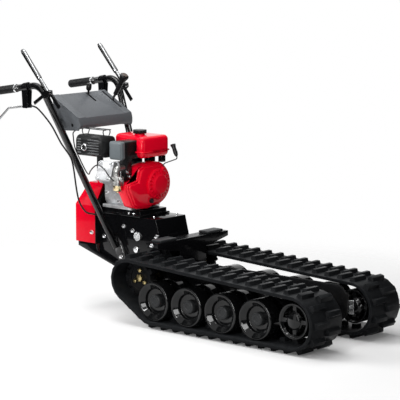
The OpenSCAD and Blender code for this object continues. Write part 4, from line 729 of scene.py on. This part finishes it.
GRIP_END = (-903, 222, 855.08)
GRIP_TILT = math.radians(9)
GRIP_LENGTH = 128
RIBS = 18
RIB_PITCH = 6
FIRST_RIB = 10
RIB_TOP = 17
RIB_FOOT = 15.7
COLLAR_AT = 129
COLLAR = [(14.3, 0), (16.4, 0), (16.8, 0.6), (16.8, 7.4), (16.4, 8), (14.3, 8), (14.3, 0)]
grip_rings = [(8, 0), (13, 0.3), (15.6, 1.6), (16.8, 4), (RIB_TOP, 8)]
for k in range(RIBS):
    foot = FIRST_RIB + k * RIB_PITCH
    grip_rings += [(RIB_TOP, foot), (RIB_FOOT, foot + 0.8), (RIB_FOOT, foot + 2), (RIB_TOP, foot + 2.8)]
grip_rings += [(RIB_TOP, GRIP_LENGTH - 2), (16.2, GRIP_LENGTH - 0.4), (14.2, GRIP_LENGTH - 0.4)]
inward = (math.cos(GRIP_TILT), 0, math.sin(GRIP_TILT))
for side, sign in SIDES.items():
    at = spot(GRIP_END[0], sign * GRIP_END[1], GRIP_END[2])
    grip = smooth(turned("grip_" + side, grip_rings, at, inward, 40), 40)
    dress(grip, GRIP_RUBBER, body_of["grips"], ["grips"])
    collar_at = at + Vector(inward) * COLLAR_AT * MM
    collar = turned("collar_" + side, COLLAR, collar_at, inward, 40, hollow=True)
    dress(smooth(collar, 40), ZINC, body_of["handlebars"])


# Bright sleeves on the upper part of the drive levers

LEVER_FOOT = Vector((-587.5, 222, 868))
LEVER_TIP = Vector((-733, 222, 1032))
SLEEVE = [(8.1, 72), (9.6, 72.6), (10.4, 74.4), (10.4, 208), (9.8, 211), (8.6, 213.4), (8.1, 214)]
for side, sign in SIDES.items():
    foot = spot(LEVER_FOOT.x, sign * LEVER_FOOT.y, LEVER_FOOT.z)
    sleeve = turned("lever_sleeve_" + side, SLEEVE, foot, (LEVER_TIP - LEVER_FOOT).normalized(), 48)
    node = "drive_lever_" + side
    dress(smooth(sleeve, 40), CHROME, body_of[node])


# Zinc hardware of the bed

BED_FACE = 88.1
NUT_FACE = 102.2
COVER_FACE = 110.1
BEAM_FACE = 210.1
FOOT_BOLT_Z = 396.2
TOP_BOLT_Z = 388.1
BED_BOLTS = [(-306, 345), (-414, 293), (-130, 321), (-159, 286), (-258, 332)]
BAR_NUT = (-308, 223)
COVER_BOLT = (-461, 306)
BEAM_PIN = (-45, 312)
FOOT_BOLTS = [(-276, -91), (-250, -91), (-276, 75.5), (-232, 75.5)]
TOP_BOLTS = [(-168, -62), (-164, 70)]
GAUGE = (-230, 312)
GAUGE_RINGS = [(18, 0), (18, 6), (17.2, 8), (15.4, 8.8), (13.6, 8.6), (12.8, 7), (0.5, 7)]
GAUGE_SLOT_OUT = 7.6
GAUGE_SLOT_TURN = math.radians(35)
GAUGE_SLOT_SIZE = (0.008, 0.009, 0.05)
GAUGE_SLOT_ROUND = 1.5
BREATHER = (-238, 258)
BREATHER_RINGS = [(13, 0), (13, 4.4), (12.2, 6), (10.4, 6.8), (5, 6.9), (4.4, 6.2), (0.5, 6.2)]

large_head = hex_head("large_head", across=13, height=5, washer=1.7)
small_head = hex_head("small_head", across=6, height=6, washer=1.2)
hardware = []
for sign in SIDES.values():
    out = (0, sign, 0)
    for x, z in BED_BOLTS:
        hardware.append(twin(large_head, "bolt", spot(x, sign * BED_FACE, z), out))
    for (x, z), face in ((BAR_NUT, NUT_FACE), (COVER_BOLT, COVER_FACE), (BEAM_PIN, BEAM_FACE)):
        hardware.append(twin(large_head, "bolt", spot(x, sign * face, z), out))
for x, y in FOOT_BOLTS:
    hardware.append(twin(small_head, "bolt", spot(x, y, FOOT_BOLT_Z), UP))
for x, y in TOP_BOLTS:
    hardware.append(twin(small_head, "bolt", spot(x, y, TOP_BOLT_Z), UP))
discard(large_head)
discard(small_head)
gauge = turned("gauge", GAUGE_RINGS, spot(GAUGE[0], -BED_FACE, GAUGE[1]), TO_RIGHT, 56)
clear_selection()
bpy.ops.mesh.primitive_cube_add(size=1, location=spot(GAUGE[0], -BED_FACE - GAUGE_SLOT_OUT, GAUGE[1]),
                                rotation=(0, GAUGE_SLOT_TURN, 0), scale=GAUGE_SLOT_SIZE)
slot_cutter = finish_place(bpy.context.object)
round_edges(slot_cutter, GAUGE_SLOT_ROUND)
apply_modifier(gauge, "BOOLEAN", object=slot_cutter, operation="DIFFERENCE", solver="EXACT")
discard(slot_cutter)
hardware.append(smooth(gauge, 30))
breather = turned("breather", BREATHER_RINGS, spot(BREATHER[0], -BED_FACE, BREATHER[1]), TO_RIGHT, 48)
hardware.append(smooth(breather, 40))
dress(joined("bed_hardware", hardware), ZINC, CHASSIS, ["bed_fittings"])


# Carburettor: brass float bowl

CARB = (-244, -190, 541)
BOWL = [(5.4, -44.3), (5.4, -38.6), (12, -38.4), (15, -37.4), (16.3, -35), (16.3, -18.6), (17.6, -18.2),
        (17.6, -15.8), (16.2, -15.4)]
bowl = turned("float_bowl", BOWL, spot(*CARB), UP, 40)
dress(smooth(bowl, 35), BRASS, body_of["carburettor"])


# Muffler: bright ring round its outlet

OUTLET = (-421, 661)
MUFFLER_FACE = -188
OUTLET_RING = [(14.4, 0), (14.4, 8), (13.4, 9.2), (11, 9.2), (9.8, 8), (9.8, 0), (14.4, 0)]
outlet_at = spot(OUTLET[0], MUFFLER_FACE, OUTLET[1])
ring = turned("outlet_ring", OUTLET_RING, outlet_at, TO_RIGHT, 48, hollow=True)
dress(smooth(ring, 40), ZINC, body_of["muffler"])


# Bolts of the cylinder head, the crankcase and the intake elbow

LEAN = math.radians(18)
CYLINDER = (-316, 0, 515)


def on_cylinder(x, y, z):
    """Point given across, along and up the leaning cylinder."""
    return spot(CYLINDER[0] + x, y * math.cos(LEAN) + z * math.sin(LEAN),
                CYLINDER[2] - y * math.sin(LEAN) + z * math.cos(LEAN))


HEAD_FACE = -197.1
HEAD_OUT = (0, -math.cos(LEAN), math.sin(LEAN))
HEAD_BOLTS = [(-30, -30), (-30, 30), (30, -30), (30, 30)]
CASE_BOLTS = [(-404, 552), (-404, 470), (-276, 560), (-276, 452), (-340, 440)]
CASE_FACE = -78.1
ELBOW_BOLTS = [(-139, 573), (-122, 552)]
ELBOW_FACE = -239.9
engine_head = hex_head("engine_head", across=10, height=6, washer=1.4)
engine_bolts = []
for x, z in HEAD_BOLTS:
    engine_bolts.append(twin(engine_head, "bolt", on_cylinder(x, HEAD_FACE, z), HEAD_OUT))
for x, z in CASE_BOLTS:
    engine_bolts.append(twin(engine_head, "bolt", spot(x, CASE_FACE, z), TO_RIGHT))
for y, z in ELBOW_BOLTS:
    engine_bolts.append(twin(engine_head, "bolt", spot(ELBOW_FACE, y, z), FORWARD))
discard(engine_head)
dress(joined("engine_bolts", engine_bolts), ZINC, body_of["crankcase"])


# Muffler: pressed louvres of its shield, in two columns

LOUVRE_ROWS = 6
LOUVRE_STEP = 10.5
LOUVRE_FOOT = 639
LOUVRE_OUT = 5
LOUVRE_HIGH = 5.2
LOUVRE_ROUND = 0.3
LOUVRE_COLUMNS = [(-452, 22), (-376, 60)]
clear_selection()
bpy.ops.mesh.primitive_cube_add(size=1)
louvre_master = bpy.context.object
bpy.ops.object.mode_set(mode="EDIT")
bpy.ops.mesh.select_all(action="SELECT")
bpy.ops.mesh.bevel(offset=LOUVRE_ROUND, segments=3, affect="EDGES")
bpy.ops.object.mode_set(mode="OBJECT")
louvres = []
for x, width in LOUVRE_COLUMNS:
    for row in range(LOUVRE_ROWS):
        louvre = twin(louvre_master, "louvre", ORIGIN, UP)
        louvre.scale = (width * MM, LOUVRE_OUT * MM, LOUVRE_HIGH * MM)
        louvre.location = spot(x, MUFFLER_FACE, LOUVRE_FOOT + row * LOUVRE_STEP)
        louvres.append(finish_place(louvre))
discard(louvre_master)
louvre_set = smooth(joined("muffler_louvres", louvres), 50)
dress(louvre_set, LOUVRE_GREY, body_of["muffler"])


# Dash: black cup in the hole of its right cheek, a dark piece put there as painted shade for the inside of
# the hole

HOLE = (-523, -151, 738)
HOLE_SHADE_CUP = [(8.5, 0), (8.5, 1.2), (6.6, 1.2), (6.2, 9), (0.5, 9)]
hole_shade_cup = turned("dash_hole_shade_cup", HOLE_SHADE_CUP, spot(*HOLE), TO_LEFT, 32)
dress(smooth(hole_shade_cup, 30), BLACK_PLASTIC, body_of["dash"])


# Fuel tank: the bead where its halves are seamed, round each of its two blocks

TANK_BLOCKS = [((-388, -56), (-192, 60)), ((-234, -100), (-192, 60))]
SEAM_UP = 21.5
SEAM_OUT = 4.4
SEAM_THICK = 5
SEAM_CORNER = 19
SEAM_ROUND = 1.8
tank_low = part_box("fuel_tank")[0]
seams = []
for (x0, y0), (x1, y1) in TANK_BLOCKS:
    clear_selection()
    centre = spot((x0 + x1) / 2, (y0 + y1) / 2, 0)
    centre.z = tank_low.z + SEAM_UP * MM
    bpy.ops.mesh.primitive_plane_add(size=1, location=centre)
    seam = bpy.context.object
    seam.scale = ((x1 - x0 + 2 * SEAM_OUT) * MM, (y1 - y0 + 2 * SEAM_OUT) * MM, 1)
    finish_place(seam)
    bpy.ops.object.mode_set(mode="EDIT")
    bpy.ops.mesh.select_all(action="SELECT")
    bpy.ops.mesh.bevel(offset=SEAM_CORNER * MM, segments=8, affect="VERTICES")
    bpy.ops.mesh.select_all(action="SELECT")
    bpy.ops.mesh.extrude_region_move(TRANSFORM_OT_translate={"value": (0, 0, SEAM_THICK * MM)})
    bpy.ops.mesh.select_all(action="SELECT")
    bpy.ops.mesh.normals_make_consistent(inside=False)
    bpy.ops.object.mode_set(mode="OBJECT")
    seams.append(round_edges(seam, SEAM_ROUND, 3, 60))
dress(smooth(joined("tank_seam", seams), 40), RED_PAINT, body_of["fuel_tank"])


# Gear lever: brown cap on its knob, and the handle below it

KNOB_FOOT = (-519, 133, 896)
KNOB_AXIS = Vector((53, 0, 79)).normalized()
CAP = [(13.5, 31.6), (12.4, 32.4), (9, 33.1), (4, 33.4), (0.5, 33.4)]
knob_cap = turned("knob_cap", CAP, spot(*KNOB_FOOT), KNOB_AXIS, 40)
dress(smooth(knob_cap, 60), KNOB_BROWN, body_of["gear_lever"])
HANDLE = [(6, -68), (8.6, -67.6), (9.4, -66), (9.6, -52), (10.4, -30), (11.2, -13), (5.2, -12)]
gear_handle = turned("gear_handle", HANDLE, spot(*KNOB_FOOT), KNOB_AXIS, 40)
dress(smooth(gear_handle, 40), BLACK_PLASTIC, body_of["gear_lever"])


# Studio: pale floor and white surroundings

FLOOR_RADIUS = 1.9
FLOOR_DROP = 0.0005
FLOOR_SHADE = (0.72, 0.72, 0.72, 1)
FLOOR_GLOW = 0.06
FADE_FROM = 0.95
WORLD_FILL = 0.3
WORLD_WHITE = 1


def background_rays(tree):
    """Mask of the rays that come from the camera, off gloss or through glass."""
    rays = tree.nodes.new("ShaderNodeLightPath")
    direct = math_node(tree, "MAXIMUM")
    clear = math_node(tree, "MAXIMUM")
    tree.links.new(rays.outputs["Is Camera Ray"], direct.inputs[0])
    tree.links.new(rays.outputs["Is Glossy Ray"], direct.inputs[1])
    tree.links.new(direct.outputs[0], clear.inputs[0])
    tree.links.new(rays.outputs["Is Transmission Ray"], clear.inputs[1])
    return clear.outputs[0]


def floor_material():
    """Pale floor that keeps the shadow, is lifted a little as background and fades out at its rim."""
    material, tree, shader = new_material("studio_floor")
    shader.inputs["Base Color"].default_value = FLOOR_SHADE
    shader.inputs["Roughness"].default_value = 0.9
    shader.inputs["Specular IOR Level"].default_value = 0.1
    glow = tree.nodes.new("ShaderNodeEmission")
    seen = math_node(tree, "MULTIPLY")
    seen.inputs[1].default_value = FLOOR_GLOW
    both = tree.nodes.new("ShaderNodeAddShader")
    place = tree.nodes.new("ShaderNodeTexCoord")
    reach = tree.nodes.new("ShaderNodeVectorMath")
    reach.operation = "LENGTH"
    fade = tree.nodes.new("ShaderNodeMapRange")
    fade.interpolation_type = "SMOOTHSTEP"
    fade.inputs["From Min"].default_value = FADE_FROM
    fade.inputs["From Max"].default_value = FLOOR_RADIUS
    away = tree.nodes.new("ShaderNodeBsdfTransparent")
    rim = tree.nodes.new("ShaderNodeMixShader")
    tree.links.new(background_rays(tree), seen.inputs[0])
    tree.links.new(seen.outputs[0], glow.inputs["Strength"])
    tree.links.new(shader.outputs[0], both.inputs[0])
    tree.links.new(glow.outputs[0], both.inputs[1])
    tree.links.new(place.outputs["Object"], reach.inputs[0])
    tree.links.new(reach.outputs["Value"], fade.inputs["Value"])
    tree.links.new(fade.outputs["Result"], rim.inputs["Fac"])
    tree.links.new(both.outputs[0], rim.inputs[1])
    tree.links.new(away.outputs[0], rim.inputs[2])
    tree.links.new(rim.outputs[0], tree.nodes["Material Output"].inputs["Surface"])
    return material


clear_selection()
bpy.ops.mesh.primitive_circle_add(vertices=96, radius=FLOOR_RADIUS, fill_type="NGON",
                                  location=(0, 0, -FLOOR_DROP))
floor = finish_place(bpy.context.object)
floor.name = "studio_floor"
floor.data.materials.append(floor_material())

world = bpy.data.worlds.new("studio")
world.use_nodes = True
bpy.context.scene.world = world
world_tree = world.node_tree
sky = world_tree.nodes["Background"]
sky.inputs["Color"].default_value = (1, 1, 1, 1)
level = world_tree.nodes.new("ShaderNodeMapRange")
level.inputs["To Min"].default_value = WORLD_FILL
level.inputs["To Max"].default_value = WORLD_WHITE
world_tree.links.new(background_rays(world_tree), level.inputs["Value"])
world_tree.links.new(level.outputs["Result"], sky.inputs["Strength"])


# Lamps: soft light from above and from the rear right, strips for the gloss of tubes and paint,
# and a card that lights no surface but shows in gloss

AIM = (0, 0, 0.4)


def softbox(name, at, size, power):
    """Rectangular lamp that looks at the middle of the machine."""
    light = bpy.data.lights.new(name, "AREA")
    light.shape = "RECTANGLE"
    light.size = size[0]
    light.size_y = size[1]
    light.energy = power
    lamp = bpy.data.objects.new(name, light)
    lamp.location = at
    lamp.rotation_euler = (Vector(AIM) - Vector(at)).to_track_quat("-Z", "Y").to_euler()
    bpy.context.scene.collection.objects.link(lamp)
    return lamp


softbox("overhead", (-0.9, 0.2, 3.2), (2.0, 1.6), 60)
softbox("left_back", (-2.3, -1.5, 1.9), (1.6, 1.2), 85)
softbox("top_strip", (0.6, -0.9, 3.0), (0.25, 2.2), 26)
softbox("left_strip", (1.2, -4.0, 1.5), (0.22, 2.4), 80)
gloss_card = softbox("gloss_card", (2.1, -3.5, 1.6), (0.8, 2.2), 70)
gloss_card.visible_diffuse = False
softbox("right_strip", (4.2, -0.9, 1.7), (0.06, 1.8), 8)


# Black boards at both sides and behind the camera, which only reflections see: they deepen paint and metal

board_black, _, board_shader = new_material("board_black")
board_shader.inputs["Base Color"].default_value = (0.004, 0.004, 0.004, 1)
board_shader.inputs["Roughness"].default_value = 0.9
board_shader.inputs["Specular IOR Level"].default_value = 0
BOARD_HEIGHT = 2.8
BOARD_LIFT = 0.01
BOARD_ASIDE = 2.05
BOARD_BEYOND = 1.2
BOARD_NEAR = 4.7
right_of_view = Vector((math.cos(CAMERA_TURN[2]), math.sin(CAMERA_TURN[2]), 0))
into_view = Vector((-right_of_view.y, right_of_view.x, 0))
BOARDS = [("left_board", right_of_view * -BOARD_ASIDE + into_view * BOARD_BEYOND, 90, 4.8),
          ("right_board", right_of_view * BOARD_ASIDE + into_view * BOARD_BEYOND, 90, 4.8),
          ("front_board", into_view * -BOARD_NEAR, 0, 9)]
for name, foot, turn, length in BOARDS:
    clear_selection()
    bpy.ops.mesh.primitive_plane_add(
        size=1, location=foot + Vector((0, 0, BOARD_HEIGHT / 2 + BOARD_LIFT)),
        rotation=(math.radians(90), 0, CAMERA_TURN[2] + math.radians(turn)))
    board = bpy.context.object
    board.scale = (length, BOARD_HEIGHT, 1)
    finish_place(board)
    board.name = name
    board.visible_camera = False
    board.visible_diffuse = False
    board.visible_shadow = False
    board.data.materials.append(board_black)
